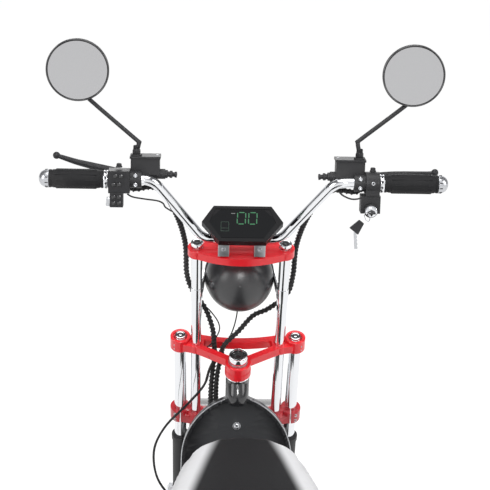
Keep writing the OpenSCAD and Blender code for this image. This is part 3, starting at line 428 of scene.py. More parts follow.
def pan_finish():
    """The foot pan: satin sheet, slightly scuffed where boots touch it. Its face is painted lighter in the middle
    as sheen, and darker towards the rim.
    """
    pan = Finish("satin black pan", (0.018, 0.018, 0.020), 0.4, coat_weight=0.5, specular_ior_level=0.3)
    pan.fix("Coat Roughness", 0.14)
    orange_peel = pan.noise(240, 2)
    scuffs = pan.noise(30, 5, (1, 3, 1)).step(0.55, 0.75)
    pan.vary("Roughness", scuffs * 0.18 + 0.32)
    pan.bump(orange_peel, 0.08, 0.0004)
    x, y, z = pan.place()
    # Painted sheen: the middle of the face is made lighter than the rim, as a broad highlight would light it; the
    # lighter marks mixed into it are scuffs.
    edge = (x * x + (z - 0.50) * (z - 0.50)).step(0.004, 0.013)
    sheen_and_scuffs = pan.blend(scuffs * 0.25, (0.042, 0.043, 0.046), (0.09, 0.09, 0.09))
    pan.vary("Base Color", pan.blend(edge, sheen_and_scuffs, (0.016, 0.016, 0.018)))
    return pan


def rubber_finish(name, color, scale=520):
    rubber = Finish(name, color, 0.72, specular_ior_level=0.3)
    grain = rubber.noise(scale, 3)
    rubber.vary("Roughness", grain * 0.2 + 0.6)
    rubber.bump(grain, 0.25, 0.0004)
    return rubber.wear((0.16, 0.155, 0.15), 0.25)


def tyre_finish():
    """Sidewalls carry fine moulded rings, which the bump draws by distance from the wheel's middle plane, on the
    sidewalls only.
    """
    tyre = Finish("tyre rubber", (0.020, 0.020, 0.021), 0.75)
    x, y, z = tyre.place()
    grain = tyre.noise(300, 3)
    dust = tyre.noise(11, 4).step(0.42, 0.75)
    tyre.vary("Roughness", grain * 0.2 + 0.66)
    tyre.vary("Base Color", tyre.blend(dust * 0.3, tyre.color, (0.075, 0.072, 0.068)))
    ribs = (x * (2 * math.pi / 0.006)).wave() * 0.5
    side = x.size().step(0.088, 0.096)
    tyre.bump(ribs * side + grain * 0.4, 0.3, 0.0008)
    return tyre


# %% [markdown]
# Glass and lamps: a mirror is a bright, slightly grey reflector; the headlamp has a clear
# ribbed glass; the tail lamp is red plastic over a pattern of small prisms.

# %% Glass and lamp finishes
def mirror_glass_finish():
    glass = Finish("mirror glass", (0.50, 0.50, 0.51), 0.16, 1.0)
    glass.vary("Roughness", glass.noise(5, 2) * 0.06 + 0.16)
    return glass


def lamp_glass_finish():
    glass = Finish("headlamp glass", (0.72, 0.76, 0.80), 0.08, 0.55, coat_weight=1.0)
    x, y, z = glass.place()
    flutes = (x * (2 * math.pi / 0.007)).wave()
    glass.bump(flutes, 0.5, 0.0012)
    glass.vary("Roughness", glass.noise(60, 2) * 0.1 + 0.05)
    return glass


def tail_lens_finish():
    lens = Finish("red lamp plastic", (0.45, 0.010, 0.012), 0.14, coat_weight=0.8)
    x, y, z = lens.place()
    prisms = (x * (2 * math.pi / 0.006)).wave() + (z * (2 * math.pi / 0.006)).wave()
    lens.bump(prisms, 0.4, 0.0008)
    lens.vary("Base Color", lens.blend(lens.noise(20) * 0.4, lens.color, (0.25, 0.0, 0.0)))
    return lens


FINISHES = {
    "chrome": chrome_finish(),
    "steel": steel_finish(),
    "disc": disc_finish(),
    "red": red_finish("red coated alloy", (0.84, 0.016, 0.026), (0.72, 0.010, 0.018)),
    # The second red is the same coat made darker: painted shade, for the lower yoke.
    "red in painted shade": red_finish("red coated alloy in painted shade", (0.50, 0.012, 0.022), (0.42, 0.008, 0.016)),
    "gloss black": gloss_black_finish(),
    "satin black": satin_black_finish(),
    "moulding": moulded_black_finish(),
    "pan": pan_finish(),
    "mat": rubber_finish("deck mat rubber", (0.022, 0.022, 0.023)),
    "grip": rubber_finish("grip rubber", (0.009, 0.009, 0.010), 800),
    "cable": rubber_finish("cable sheath", (0.016, 0.016, 0.017), 900),
    "tyre": tyre_finish(),
    "mirror": mirror_glass_finish(),
    "lamp glass": lamp_glass_finish(),
    "tail lens": tail_lens_finish(),
    "display case": display_case_finish(),
    "bowl": bowl_finish(),
}
print(len(FINISHES), "finishes")

# %% [markdown]
# Each hard part now gets the finish that the real one has. The table lists them by finish, and
# a print at its end lists the parts that the table leaves out.

# %% Dress the hard parts
DRESSED = {
    "chrome": ["handlebar", "bar_clamps", "grip_trims", "inner_tubes", "outer_tubes", "head_races"],
    "steel": ["steering_stem", "front_axle", "rear_axle", "pivot_bolt", "rear_shocks"],
    "disc": ["front_disc", "rear_disc"],
    "red": ["lower_yoke", "middle_yoke", "upper_yoke"],
    "gloss black": [
        "main_frame", "swingarm", "front_rim", "rear_rim", "front_mudguard", "rear_mudguard",
    ],
    "display case": ["display"],
    "bowl": ["headlamp_shell"],
    "satin black": [
        "fork_sliders", "front_caliper", "rear_caliper", "headlamp_brackets", "centre_stand",
        "plate_bracket", "brake_levers", "mirrors", "master_cylinders", "ignition_lock",
    ],
    "moulding": [
        "battery_box", "controller_case", "seat_base", "switch_block", "throttle_housing",
    ],
    "pan": ["foot_pan"],
    "mat": ["deck_mat"],
    "grip": ["grips"],
    "cable": ["wiring_looms", "brake_hose"],
    "tyre": ["front_tyre", "rear_tyre"],
    "mirror": ["mirror_glass"],
    "lamp glass": ["headlamp_lens"],
    "tail lens": ["tail_lamp"],
    "seat": ["seat"],
}


def paint_node(name, finish):
    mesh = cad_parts[name].data
    mesh.materials.clear()
    mesh.materials.append(finish.material)


for finish_name, names in DRESSED.items():
    for name in names:
        if finish_name in FINISHES:
            paint_node(name, FINISHES[finish_name])
bare = set(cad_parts) - {name for names in DRESSED.values() for name in names}
print("parts without a finish:", sorted(bare))

# %% [markdown]
# New pieces are made as by hand: a primitive is added, shaped in edit mode, finished with
# modifiers and set down in its place. These few helpers keep that short. A finished piece's
# object sits at the origin, with its place in its mesh, as the hard parts' objects do.

# %% The workbench
def select_only(*things):
    bpy.ops.object.select_all(action="DESELECT")
    for thing in things:
        thing.select_set(True)
    bpy.context.view_layer.objects.active = things[0]


def named(name):
    thing = bpy.context.active_object
    thing.name = thing.data.name = name
    return thing


def block(name, width, length, height):
    bpy.ops.object.select_all(action="DESELECT")
    bpy.ops.mesh.primitive_cube_add(size=1, scale=(width * MM, length * MM, height * MM))
    thing = named(name)
    bpy.ops.object.transform_apply(location=False, rotation=False, scale=True)
    return thing


def round_bar(name, radius, height, sides=32):
    bpy.ops.object.select_all(action="DESELECT")
    bpy.ops.mesh.primitive_cylinder_add(vertices=sides, radius=radius * MM, depth=height * MM)
    return named(name)


def ring(name, radius, thickness, sides=96):
    bpy.ops.object.select_all(action="DESELECT")
    bpy.ops.mesh.primitive_torus_add(
        major_radius=radius * MM, minor_radius=thickness * MM / 2,
        major_segments=sides, minor_segments=10,
    )
    return named(name)


def turned(name, profile, sides=48):
    """A piece turned about Z from its outline, given as (radius, height) in millimetres."""
    outline = bpy.data.meshes.new(name)
    edges = [(i, i + 1) for i in range(len(profile) - 1)]
    outline.from_pydata([(radius * MM, 0, height * MM) for radius, height in profile], edges, [])
    thing = bpy.data.objects.new(name, outline)
    bpy.context.scene.collection.objects.link(thing)
    with Edit(thing, "VERT"):
        bpy.ops.mesh.select_all(action="SELECT")
        bpy.ops.mesh.spin(steps=sides, angle=2 * math.pi, center=(0, 0, 0), axis=(0, 0, 1))
        bpy.ops.mesh.select_all(action="SELECT")
        bpy.ops.mesh.remove_doubles(threshold=0.000001)
        bpy.ops.mesh.normals_make_consistent(inside=False)
    return thing


class Edit:
    """Edit mode on one piece, with nothing selected at its start."""

    def __init__(self, thing, mode="FACE"):
        self.thing, self.mode = thing, mode

    def __enter__(self):
        select_only(self.thing)
        bpy.ops.object.mode_set(mode="EDIT")
        bpy.ops.mesh.select_mode(type=self.mode)
        bpy.ops.mesh.select_all(action="DESELECT")
        return self

    def __exit__(self, *error):
        bpy.ops.object.mode_set(mode="OBJECT")

    def pick(self, test):
        """Selects the faces, or in edge mode the edges, that pass a test on their middle."""
        bpy.ops.mesh.select_all(action="DESELECT")
        mesh = bmesh.from_edit_mesh(self.thing.data)
        mesh.faces.ensure_lookup_table()
        for part in mesh.faces if self.mode == "FACE" else mesh.edges:
            middle = sum((corner.co for corner in part.verts), Vector()) / len(part.verts)
            if test(middle, part):
                part.select_set(True)
        mesh.select_flush_mode()
        bmesh.update_edit_mesh(self.thing.data)


def use(thing, kind, **settings):
    """Adds a modifier and applies it."""
    modifier = thing.modifiers.new(kind.lower(), kind)
    for key, value in settings.items():
        setattr(modifier, key, value)
    select_only(thing)
    bpy.ops.object.modifier_apply(modifier=modifier.name)


def round_off(thing, width, segments=2, angle=30):
    use(
        thing, "BEVEL", width=width * MM, segments=segments,
        limit_method="ANGLE", angle_limit=math.radians(angle),
    )


def copy_of(thing, name):
    copy = thing.copy()
    copy.data = thing.data.copy()
    copy.name = copy.data.name = name
    bpy.context.scene.collection.objects.link(copy)
    return copy


def move(thing, matrix):
    """Turns and moves the mesh itself, and leaves the object at the origin."""
    thing.matrix_world = matrix
    select_only(thing)
    bpy.ops.object.transform_apply(location=True, rotation=True, scale=True)
    return thing


def other_side(thing, name):
    """The mirror image across the centre plane, with its faces turned outwards again."""
    twin = move(copy_of(thing, name), Matrix.Scale(-1, 4, (1, 0, 0)))
    with Edit(twin):
        bpy.ops.mesh.select_all(action="SELECT")
        bpy.ops.mesh.normals_make_consistent(inside=False)
    return twin


def join(name, things):
    select_only(*things)
    if len(things) > 1:
        bpy.ops.object.join()
    return named(name)


def hand_over(thing, finish, body, smooth=35):
    """The last step of a piece: smooth shading, its finish, and the body that it rides on."""
    select_only(thing)
    bpy.ops.object.shade_smooth_by_angle(angle=math.radians(smooth))
    thing.data.materials.clear()
    thing.data.materials.append(finish.material)
    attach(thing, body)
    faces = len(thing.data.polygons)
    print(f"{thing.name}: {faces} faces on {body}")
    return thing


def at(place, toward=(0, 0, 1), spin=0.0):
    """A matrix that puts a piece's own +Z along a direction, at a place."""
    turn = Vector(toward).to_track_quat("Z", "Y").to_matrix().to_4x4()
    return Matrix.Translation(place) @ turn @ Matrix.Rotation(math.radians(spin), 4, "Z")


ALONG_FORK = fork_frame.to_3x3() @ Vector((0, 0, 1))
AHEAD_OF_FORK = fork_frame.to_3x3() @ Vector((0, 1, 0))
RIGHT, AHEAD, UP = Vector((1, 0, 0)), Vector((0, 1, 0)), Vector((0, 0, 1))

# %% [markdown]
# Cables follow the same points as the model's own cables. `smooth_route` threads a
# smooth line through them, and a thin lead is a round curve that is turned into a mesh.

# %% Routes and leads
def smooth_route(points, steps):
    """A smooth line through all the points, in even steps between each pair."""
    ends = [points[0], *points, points[-1]]
    line = []
    for i in range(1, len(ends) - 2):
        a, b, c, d = ends[i - 1 : i + 3]
        for k in range(steps):
            f = k / steps
            line.append(
                0.5 * (2 * b + (c - a) * f + (2 * a - 5 * b + 4 * c - d) * f**2
                       + (3 * b - a - 3 * c + d) * f**3)
            )
    return [*line, points[-1]]


def lead(name, points, diameter, finish, body, steps=6):
    line = smooth_route(points, steps)
    curve = bpy.data.curves.new(name, "CURVE")
    curve.dimensions = "3D"
    curve.bevel_depth = diameter * MM / 2
    curve.bevel_resolution = 2
    curve.use_fill_caps = True
    spline = curve.splines.new("POLY")
    spline.points.add(len(line) - 1)
    for point, place in zip(spline.points, line):
        point.co = (*place, 1)
    thing = bpy.data.objects.new(name, curve)
    bpy.context.scene.collection.objects.link(thing)
    select_only(thing)
    bpy.ops.object.convert(target="MESH")
    thing = named(name)
    return hand_over(thing, finish, body, 60)

# %% [markdown]
# The saddle is foam under a stretched cover. Its hard stand-in gives the outline; a copy is
# remeshed into even cells, smoothed, and blown up a little with Cloth, as foam pushes the cover
# out. A cap on how far a point may move keeps it off its neighbours. The cover is dark in the
# middle, where the rider sits, and fades to a pale flank on each side.

# %% The saddle's cover
def saddle_finish():
    pale, dark = (0.53, 0.53, 0.54), (0.008, 0.008, 0.009)
    cover = Finish("two-tone saddle cover", pale, 0.5, specular_ior_level=0.04)
    x, y, z = cover.place()
    half_width = y * -0.19 + 0.020
    flank = (x.size() - half_width).step(-0.014, 0.012)
    under = z.step(0.622, 0.634)
    grain = cover.cells(620)
    cover.vary("Base Color", cover.blend(flank, (*dark, 1), (*pale, 1)))
    cover.vary("Roughness", grain * 0.08 + flank * 0.1 + 0.46)
    cover.bump(grain * under, 0.12, 0.0004)
    return cover


def padded_copy(name, node, cell, smoothing):
    """A new piece from a hard part's shape, in even cells with softened edges."""
    thing = bpy.data.objects.new(name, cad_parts[node].data.copy())
    bpy.context.scene.collection.objects.link(thing)
    with Edit(thing, "VERT"):
        bpy.ops.mesh.select_all(action="SELECT")
        bpy.ops.mesh.remove_doubles(threshold=0.00001)
    use(thing, "REMESH", mode="VOXEL", voxel_size=cell * MM)
    use(thing, "SMOOTH", factor=0.5, iterations=smoothing)
    return thing


def fill_with_foam(thing, pressure, most):
    """Swells the piece with Cloth under pressure, no point by more than `most` millimetres."""
    rest = [corner.co.copy() for corner in thing.data.vertices]
    filling = thing.modifiers.new("filling", "CLOTH")
    filling.settings.use_pressure = True
    filling.settings.uniform_pressure_force = pressure
    filling.settings.effector_weights.gravity = 0
    for step in range(1, 21):
        bpy.context.scene.frame_set(step)
    swollen = thing.evaluated_get(bpy.context.evaluated_depsgraph_get()).data
    moved = [corner.co.copy() for corner in swollen.vertices]
    thing.modifiers.remove(filling)
    bpy.context.scene.frame_set(1)
    for corner, old, new in zip(thing.data.vertices, rest, moved):
        shift = new - old
        corner.co = old + shift * min(1, most * MM / max(shift.length, 1e-9))


seat_low, seat_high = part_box("seat")
saddle = padded_copy("saddle", "seat", 6, 14)
fill_with_foam(saddle, 4, 5)
SEAT_HALF = 166 * MM


def broaden(place):
    """Widens and lifts the nose, where the cover is pulled over the widest foam."""
    nose = min(max((place.y - seat_low.y) / (seat_high.y - seat_low.y), 0), 1)
    height = (place.z - seat_low.z) / (seat_high.z - seat_low.z)
    x = place.x * (1 + 0.30 * nose**1.5)
    x = x / (1 + abs(x / SEAT_HALF) ** 8) ** 0.125
    z = place.z + 0.011 * nose * height**2
    return x, place.y, min(max(z, seat_low.z + 0.0005), seat_high.z + 0.010)


for corner in saddle.data.vertices:
    corner.co = broaden(corner.co)
use(saddle, "SUBSURF", levels=1, render_levels=1)
seat_cover = saddle_finish()
hand_over(saddle, seat_cover, "frame", 60)
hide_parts("seat")

# %% [markdown]
# A welt runs round the saddle's foot, where the cover is turned under. A flat cut through the
# saddle gives its line, and a round curve on that line gives the welt.

# %% The saddle's welt
def welt_round(thing, name, height, diameter):
    welt = copy_of(thing, name)
    for key in list(welt.keys()):
        del welt[key]
    with Edit(welt):
        bpy.ops.mesh.select_all(action="SELECT")
        bpy.ops.mesh.bisect(
            plane_co=(0, 0, height), plane_no=(0, 0, 1), clear_inner=True, clear_outer=True
        )
    bpy.ops.object.convert(target="CURVE")
    welt = bpy.context.active_object
    welt.data.bevel_depth = diameter * MM / 2
    welt.data.bevel_resolution = 2
    bpy.ops.object.convert(target="MESH")
    return named(name)


welt = welt_round(saddle, "saddle_welt", seat_low.z + 0.009, 4)
hand_over(welt, FINISHES["moulding"], "frame", 60)

# %% [markdown]
# Fat scooter tyres have small staggered blocks on their crown. One block is modelled, copied
# round the wheel in rows, and the rows are joined. A block stands 1.5 mm proud of the crown and
# its foot is buried in it, leaned to the crown's own slope.

# %% Tyre tread
CROWN_RADIUS = 190
TREAD_ROWS = {0: 0.0, -30: 0.5, 30: 0.5, -59: 0.0, 59: 0.0, -84: 0.5, 84: 0.5}
BLOCKS_ROUND = 48


def turned_about_axle(share):
    return Matrix.Rotation(2 * math.pi * share / BLOCKS_ROUND, 4, "X")


def tread(name):
    """All the blocks of one tyre, round an axle at the origin."""
    tyre_low, tyre_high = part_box("front_tyre")
    crown_centre = (tyre_high.z - tyre_low.z) / 2 / MM - CROWN_RADIUS
    pattern = block("tread block", 22, 23, 5)
    with Edit(pattern) as edit:
        edit.pick(lambda middle, part: middle.z > 0.002)
        bpy.ops.transform.resize(value=(0.84, 0.84, 1), center_override=(0, 0, 0.0025))
    round_off(pattern, 0.7, 1)
    strip = []
    for across, offset in TREAD_ROWS.items():
        lean = math.asin(across / CROWN_RADIUS)
        depth = crown_centre + CROWN_RADIUS * math.cos(lean) - 1
        place = Matrix.Translation((across * MM, 0, depth * MM)) @ Matrix.Rotation(lean, 4, "Y")
        strip.append(move(copy_of(pattern, "block"), turned_about_axle(offset) @ place))
    strip = join("tread strip", strip)
    around = [move(copy_of(strip, "strip"), turned_about_axle(k)) for k in range(BLOCKS_ROUND)]
    bpy.data.objects.remove(pattern)
    bpy.data.objects.remove(strip)
    return join(name, around)


front_tread = tread("front_tread")
rear_tread = copy_of(front_tread, "rear_tread")
hand_over(move(front_tread, Matrix.Translation(front_axle)), FINISHES["tyre"], "front_wheel")
hand_over(move(rear_tread, Matrix.Translation(rear_axle)), FINISHES["tyre"], "rear_wheel")

# %% [markdown]
# The foot pan is a pressed sheet whose upright narrows into a pointed arch. It leans forward
# only a little, to leave room for the looms when the bars are turned. The hard part has the plain round arch, so
# a copy of it is merged and its points are moved: each keeps its distance in from the edge.

# %% The foot pan
PAN_HALF, ROUND_HALF, ARCH_RADIUS = 131, 146, 159
PAN_TOP, ARCH_RISE = 598, 156.5
PAN_LEAN = 1
pan_low, pan_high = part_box("foot_pan")
pan_face = pan_high.y / MM - 5
round_foot = pan_high.z / MM - ROUND_HALF


def arch_half(height, inset):
    """Half the arch's width at a height above its foot, in from its edge."""
    radius = ARCH_RADIUS - inset
    over = min(max(height, 0), ARCH_RISE) / radius
    return max(radius * math.sqrt(max(1 - over * over, 0)) - (ARCH_RADIUS - PAN_HALF), 0)


def press_pan(x, y, z):
    """Where a point of the plain pan goes on the real one, in millimetres."""
    side = math.copysign(1, x)
    lean = PAN_LEAN * max(z - 440, 0) / 155
    if z <= round_foot:
        blend = min(max((z - 305) / 120, 0), 1)
        narrow = 1 + blend * (PAN_HALF / ROUND_HALF - 1)
        foot = PAN_TOP - ARCH_RISE
        low = z if z < 305 else 305 + (z - 305) * (foot - 305) / (round_foot - 305)
        return x * narrow, y + lean, low
    reach = math.hypot(x, z - round_foot)
    inset = ROUND_HALF - reach
    top = ARCH_RISE - inset * 1.04
    height = (z - round_foot) / max(reach, 1) * max(top, 0)
    full = max(reach, 1) * math.sqrt(max(1 - ((z - round_foot) / max(reach, 1)) ** 2, 0))
    share = abs(x) / max(full, 0.01)
    return side * arch_half(height, inset) * share, y + lean, PAN_TOP - ARCH_RISE + height


pan = bpy.data.objects.new("pressed_pan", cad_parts["foot_pan"].data.copy())
bpy.context.scene.collection.objects.link(pan)
with Edit(pan, "VERT"):
    bpy.ops.mesh.select_all(action="SELECT")
    bpy.ops.mesh.remove_doubles(threshold=0.00001)
    for level in range(305, 596, 15):
        bpy.ops.mesh.select_all(action="SELECT")
        bpy.ops.mesh.bisect(plane_co=(0, 0, level * MM), plane_no=(0, 0, 1))
for corner in pan.data.vertices:
    corner.co = Vector(press_pan(*(corner.co / MM))) * MM
hand_over(pan, FINISHES["pan"], "frame", 30)
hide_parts("foot_pan")

# %% [markdown]
# A bright bead follows the pan's rim, and one bolt with a washer holds the pan to the backbone.
# Screws are all one shape: a short bar whose top is inset and pushed in to leave a socket.

# %% The pan's bead and bolt
def screw(name, radius, height, socket=0.55, depth=0.35, sides=24):
    thing = round_bar(name, radius, height, sides)
    with Edit(thing) as edit:
        edit.pick(lambda middle, part: middle.z > height * MM * 0.49)
        bpy.ops.mesh.inset(thickness=radius * (1 - socket) * MM)
        bpy.ops.mesh.extrude_region_move(
            TRANSFORM_OT_translate={"value": (0, 0, -height * depth * MM)}
        )
    round_off(thing, min(radius, height) * 0.16, 2)
    return thing


def repeated(name, pattern, places, finish, body, smooth=35):
    """Copies of one modelled piece at several places, joined to one piece."""
    copies = [move(copy_of(pattern, name), place) for place in places]
    bpy.data.objects.remove(pattern)
    return hand_over(join(name, copies), finish, body, smooth)


def rim_point(share, out=0.0):
    """A point of the pan's rim, from its left foot at -1 over its top to its right foot at 1."""
    angle = (1 - abs(share)) * math.acos((ARCH_RADIUS - PAN_HALF) / ARCH_RADIUS)
    x, y, z = 0, pan_face - 18, PAN_TOP - ARCH_RISE + ARCH_RADIUS * math.sin(angle)
    x = ARCH_RADIUS * math.cos(angle) - (ARCH_RADIUS - PAN_HALF) + out
    return Vector((math.copysign(x, share), y + PAN_LEAN * max(z - 440, 0) / 155, z)) * MM


for side, name in ((-1, "left_pan_bead"), (1, "right_pan_bead")):
    foot = rim_point(side)
    bead = [foot + Vector((side * 4 * MM, 0, -0.09)), foot + Vector((side * 1 * MM, 0, -0.04))]
    bead += [rim_point(side * (1 - k / 14)) for k in range(13)]
    lead(name, bead, 3, FINISHES["steel"], "frame", 3)
bolt_place = Vector((0, (pan_face + PAN_LEAN * (520 - 440) / 155) * MM, 0.516))
washer = screw("pan washer", 9.5, 2.4, 0.6, 0.2, 40)
repeated("pan_washer", washer, [at(bolt_place, -AHEAD)], FINISHES["steel"], "frame")
pan_bolt = screw("pan bolt", 6.5, 7, 0.5, 0.5, 6)
repeated("pan_bolt", pan_bolt, [at(bolt_place, -AHEAD, 20)], FINISHES["chrome"], "frame")

# %% [markdown]
# The display's face is a dark glass that lies in the housing's recess. Its digits are seven
# segment numerals: one slim bar with pointed ends is copied to six places for each nought.

# %% The display
TILT = math.radians(52)
display_low, display_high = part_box("display")
display_frame = (
    fork_frame @ Matrix.Translation((0, -36 * MM, 932 * MM)) @ Matrix.Rotation(TILT - RAKE, 4, "X")
)


def on_display(x, up, out=9.5):
    return display_frame @ Matrix.Translation((x * MM, up * MM, out * MM))


def glass_finish():
    glass = Finish("smoked display glass", (0.002, 0.0025, 0.0035), 0.12, specular_ior_level=0.08)
    x, y, z = glass.place()
    glass.vary("Roughness", glass.noise(24, 3) * 0.1 + 0.1)
    return glass


def lit_finish(name, color):
    lit = Finish(name, (0.01, 0.01, 0.01), 0.5)
    lit.fix("Emission Strength", 1.0)
    cells = lit.cells(2400).step(0.0, 0.3) * 0.25
    lit.vary("Emission Color", lit.blend(cells, (*color, 1), (0.005, 0.02, 0.01, 1)))
    return lit


face = block("display_glass", 146, 68, 1.2)
with Edit(face, "EDGE") as edit:
    edit.pick(lambda middle, part: abs(middle.x) > 0.07 and abs(middle.y) > 0.03)
    bpy.ops.mesh.bevel(offset=0.024, segments=1, affect="EDGES")
round_off(face, 0.4, 1)
hand_over(move(face, on_display(0, 0)), glass_finish(), "steering")

GREEN = lit_finish("green display light", (0.010, 0.24, 0.075))
WHITE = lit_finish("white display light", (0.26, 0.27, 0.27))
bar = block("segment", 12, 2.3, 0.5)
with Edit(bar, "EDGE") as edit:
    edit.pick(lambda middle, part: abs(middle.x) > 0.0055 and abs(middle.y) > 0.001)
    bpy.ops.mesh.bevel(offset=0.0009, segments=1, affect="EDGES")
NOUGHT = [(0, 14, 0), (0, -14, 0), (-9, 7, 90), (-9, -7, 90), (9, 7, 90), (9, -7, 90)]
segments = []
for digit_x in (-2.5, 22.5):
    for x, up, spin in NOUGHT:
        lean = x + (up * 0.06)
        segments.append(
            on_display(digit_x + lean, 13.5 + up, 10.4) @ Matrix.Rotation(math.radians(spin), 4, "Z")
        )
repeated("display_digits", bar, segments, GREEN, "steering")
sign = block("minus sign", 9, 1.6, 0.5)
round_off(sign, 0.2, 1)
repeated("display_minus", sign, [on_display(-21, 25, 10.4)], WHITE, "steering")
dim_green = lit_finish("dim display light", (0.006, 0.045, 0.022))
cell = block("cell edge", 17, 1, 0.5)
round_off(cell, 0.2, 1)
edges = [on_display(-39, 4, 10.4), on_display(-39, -18, 10.4), on_display(-39, -11, 10.4)]
edges += [
    on_display(-39 + side * 8.5, -7, 10.4) @ Matrix.Rotation(math.pi / 2, 4, "Z") @ Matrix.Scale(1.3, 4, (1, 0, 0))
    for side in (-1, 1)
]
repeated("display_battery", cell, edges, dim_green, "steering")

# %% [markdown]
# The yokes hold the tubes by pinch bolts, and each tube is closed by a bolt with a dark socket.
# The steering stem ends in a bright ring round a dark cap nut.

# %% Bolts of the yokes and the stem's cap
TUBES = [(-138, 0), (138, 0)]
INNER_TUBES = [(-100, -12), (100, -12)]
LOWER_YOKE_DROP = 13


def on_fork_at(x, ahead, up, toward=ALONG_FORK, spin=0.0):
    return at(on_fork(x, ahead, up), toward, spin)


cap = screw("fork cap bolt", 12.5, 6, 0.62, 0.75, 32)
repeated("fork_cap_bolts", cap, [on_fork_at(x, a, 558.5) for x, a in TUBES], FINISHES["chrome"], "steering")
socket = screw("socket", 8, 5, 0.55, 0.6, 6)
repeated(
    "fork_cap_sockets", socket, [on_fork_at(x, a, 559.4, spin=15) for x, a in TUBES],
    FINISHES["satin black"], "steering",
)
ear = turned("ear", [
    (15.2, 14), (17, 20), (22.4, 20.6), (24, 19), (24.2, -13.5), (22.6, -15.4), (15.4, -15.4), (15.2, 14),
], 64)
repeated("middle_yoke_ears", ear, [on_fork_at(x, a, 538) for x, a in TUBES], FINISHES["red"], "steering")
cup = turned("cup", [
    (22, -10), (30.6, -10), (31, -9), (31, -24), (29.4, -26), (22, -26), (22, -10),
], 72)
repeated("middle_yoke_boss", cup, [on_fork_at(0, -78, 538)], FINISHES["red"], "steering")
cap = screw("inner cap", 14.2, 9, 0.66, 0.6, 32)
repeated(
    "inner_cap_rings", cap, [on_fork_at(x, a, 858) for x, a in INNER_TUBES], FINISHES["chrome"], "steering"
)
socket = screw("socket", 9.3, 6, 0.5, 0.6, 6)
repeated(
    "inner_cap_sockets", socket, [on_fork_at(x, a, 859.4, spin=15) for x, a in INNER_TUBES],
    FINISHES["satin black"], "steering",
)
stem_ring = screw("stem ring", 22.5, 19, 0.70, 0.34, 64)
repeated("stem_cap_ring", stem_ring, [on_fork_at(0, -78, 563.5)], FINISHES["chrome"], "steering")
stem_nut = screw("stem nut", 15.2, 9, 0.6, 0.5, 6)
repeated("stem_cap_nut", stem_nut, [on_fork_at(0, -78, 565.6, spin=10)], FINISHES["satin black"], "steering")
neck_ring = ring("neck_ring", 27.6, 4)
hand_over(move(neck_ring, on_fork_at(0, -78, 509.5)), FINISHES["chrome"], "frame")

pinch = screw("pinch bolt", 4.6, 5, 0.5, 0.5, 24)
places = []
for side in (-1, 1):
    for up in (-6, 6):
        places.append(on_fork_at(side * 149, -17.5, 538 + up, -AHEAD_OF_FORK))
    for up in (-9, 9):
        places.append(on_fork_at(side * 150, -20.5, 310 - LOWER_YOKE_DROP + up, -AHEAD_OF_FORK))
repeated("pinch_bolts", pinch, places, FINISHES["steel"], "steering")

# %% [markdown]
# The handlebar sits in two bright clamps with one bolt each. Their caps are rounded blocks
# with a raised top, and they hide the display's feet as on the real bar.

# %% The bar's clamp caps
def clamp_cap(name, width, length, height):
    thing = block(name, width, length, height)
    with Edit(thing) as edit:
        edit.pick(lambda middle, part: part.normal.z > 0.9)
        bpy.ops.mesh.inset(thickness=0.003)
        bpy.ops.mesh.extrude_region_move(TRANSFORM_OT_translate={"value": (0, 0, 0.0015)})
    round_off(thing, 6.5, 5)
    return thing


cap = clamp_cap("clamp cap", 25, 26, 38)
places = [on_fork_at(side * 40.5, -36, 871) for side in (-1, 1)]
repeated("bar_clamp_caps", cap, places, FINISHES["steel"], "steering")
clamp_bolt = screw("clamp bolt", 5.4, 6, 0.55, 0.55, 28)
places = [on_fork_at(side * 40.5, -49, 874, -AHEAD_OF_FORK) for side in (-1, 1)]
repeated("clamp_bolts", clamp_bolt, places, FINISHES["steel"], "steering")

# %% [markdown]
# Both wiring looms are wrapped in spiral tube. A second, thinner line winds round each loom's
# own route, and half of it is sunk in the loom.

# %% Spiral wrap on the looms
BAR_X = (220, 236)
loom_right = [
    by_bar(266, 24.4, -14), by_bar(266, 33, -14), by_bar(255, 37, -21), by_bar(240, 36, -27),
    by_bar(188, 43, -27), on_fork(150, 6, 935), on_fork(128, 28, 828), on_fork(124, 26, 735),
    on_fork(112, 22, 677), on_fork(70, 16, 635), on_fork(34, 12, 615), on_fork(0, -8, 582),
    on_fork(-34, -26, 552), on_fork(-40, -32, 520), on_fork(-48, -48, 482), on_fork(-51, -60, 440),
    on_fork(-50.5, -64, 370), on_fork(-50, -64, 323),
]
loom_left = [
    by_bar(-262, 18.8, -14), by_bar(-262, 27, -14), by_bar(-252, 31, -21), by_bar(-236, 32, -27),
    by_bar(-188, 43, -27), on_fork(-150, 6, 935), on_fork(-128, 28, 828), on_fork(-124, 26, 735),
    on_fork(-110, 22, 685), on_fork(-80, 2, 647), on_fork(-62, -16, 599), on_fork(-57, -23, 552),
    on_fork(-56, -27, 522), on_fork(-60, -46, 482), on_fork(-63, -62, 440), on_fork(-63, -66, 370),
    on_fork(-62, -66, 323),
]


def wound(route, radius, pitch, a_turn=9):
    """A line that winds round a route at an even pitch."""
    line = smooth_route(route, 24)
    winding, gone, side = [], 0.0, Vector((0.1, 1, 0.3)).normalized()
    wanted = pitch * MM / a_turn
    for old, new in zip(line, line[1:]):
        ahead = new - old
        if ahead.length < 1e-7:
            continue
        side = (side - ahead * side.dot(ahead) / ahead.length_squared).normalized()
        other = ahead.normalized().cross(side)
        while gone < ahead.length:
            turn = 2 * math.pi * len(winding) / a_turn
            centre = old + ahead * gone / ahead.length
            winding.append(centre + (side * math.cos(turn) + other * math.sin(turn)) * radius * MM)
            gone += wanted
        gone -= ahead.length
    return winding


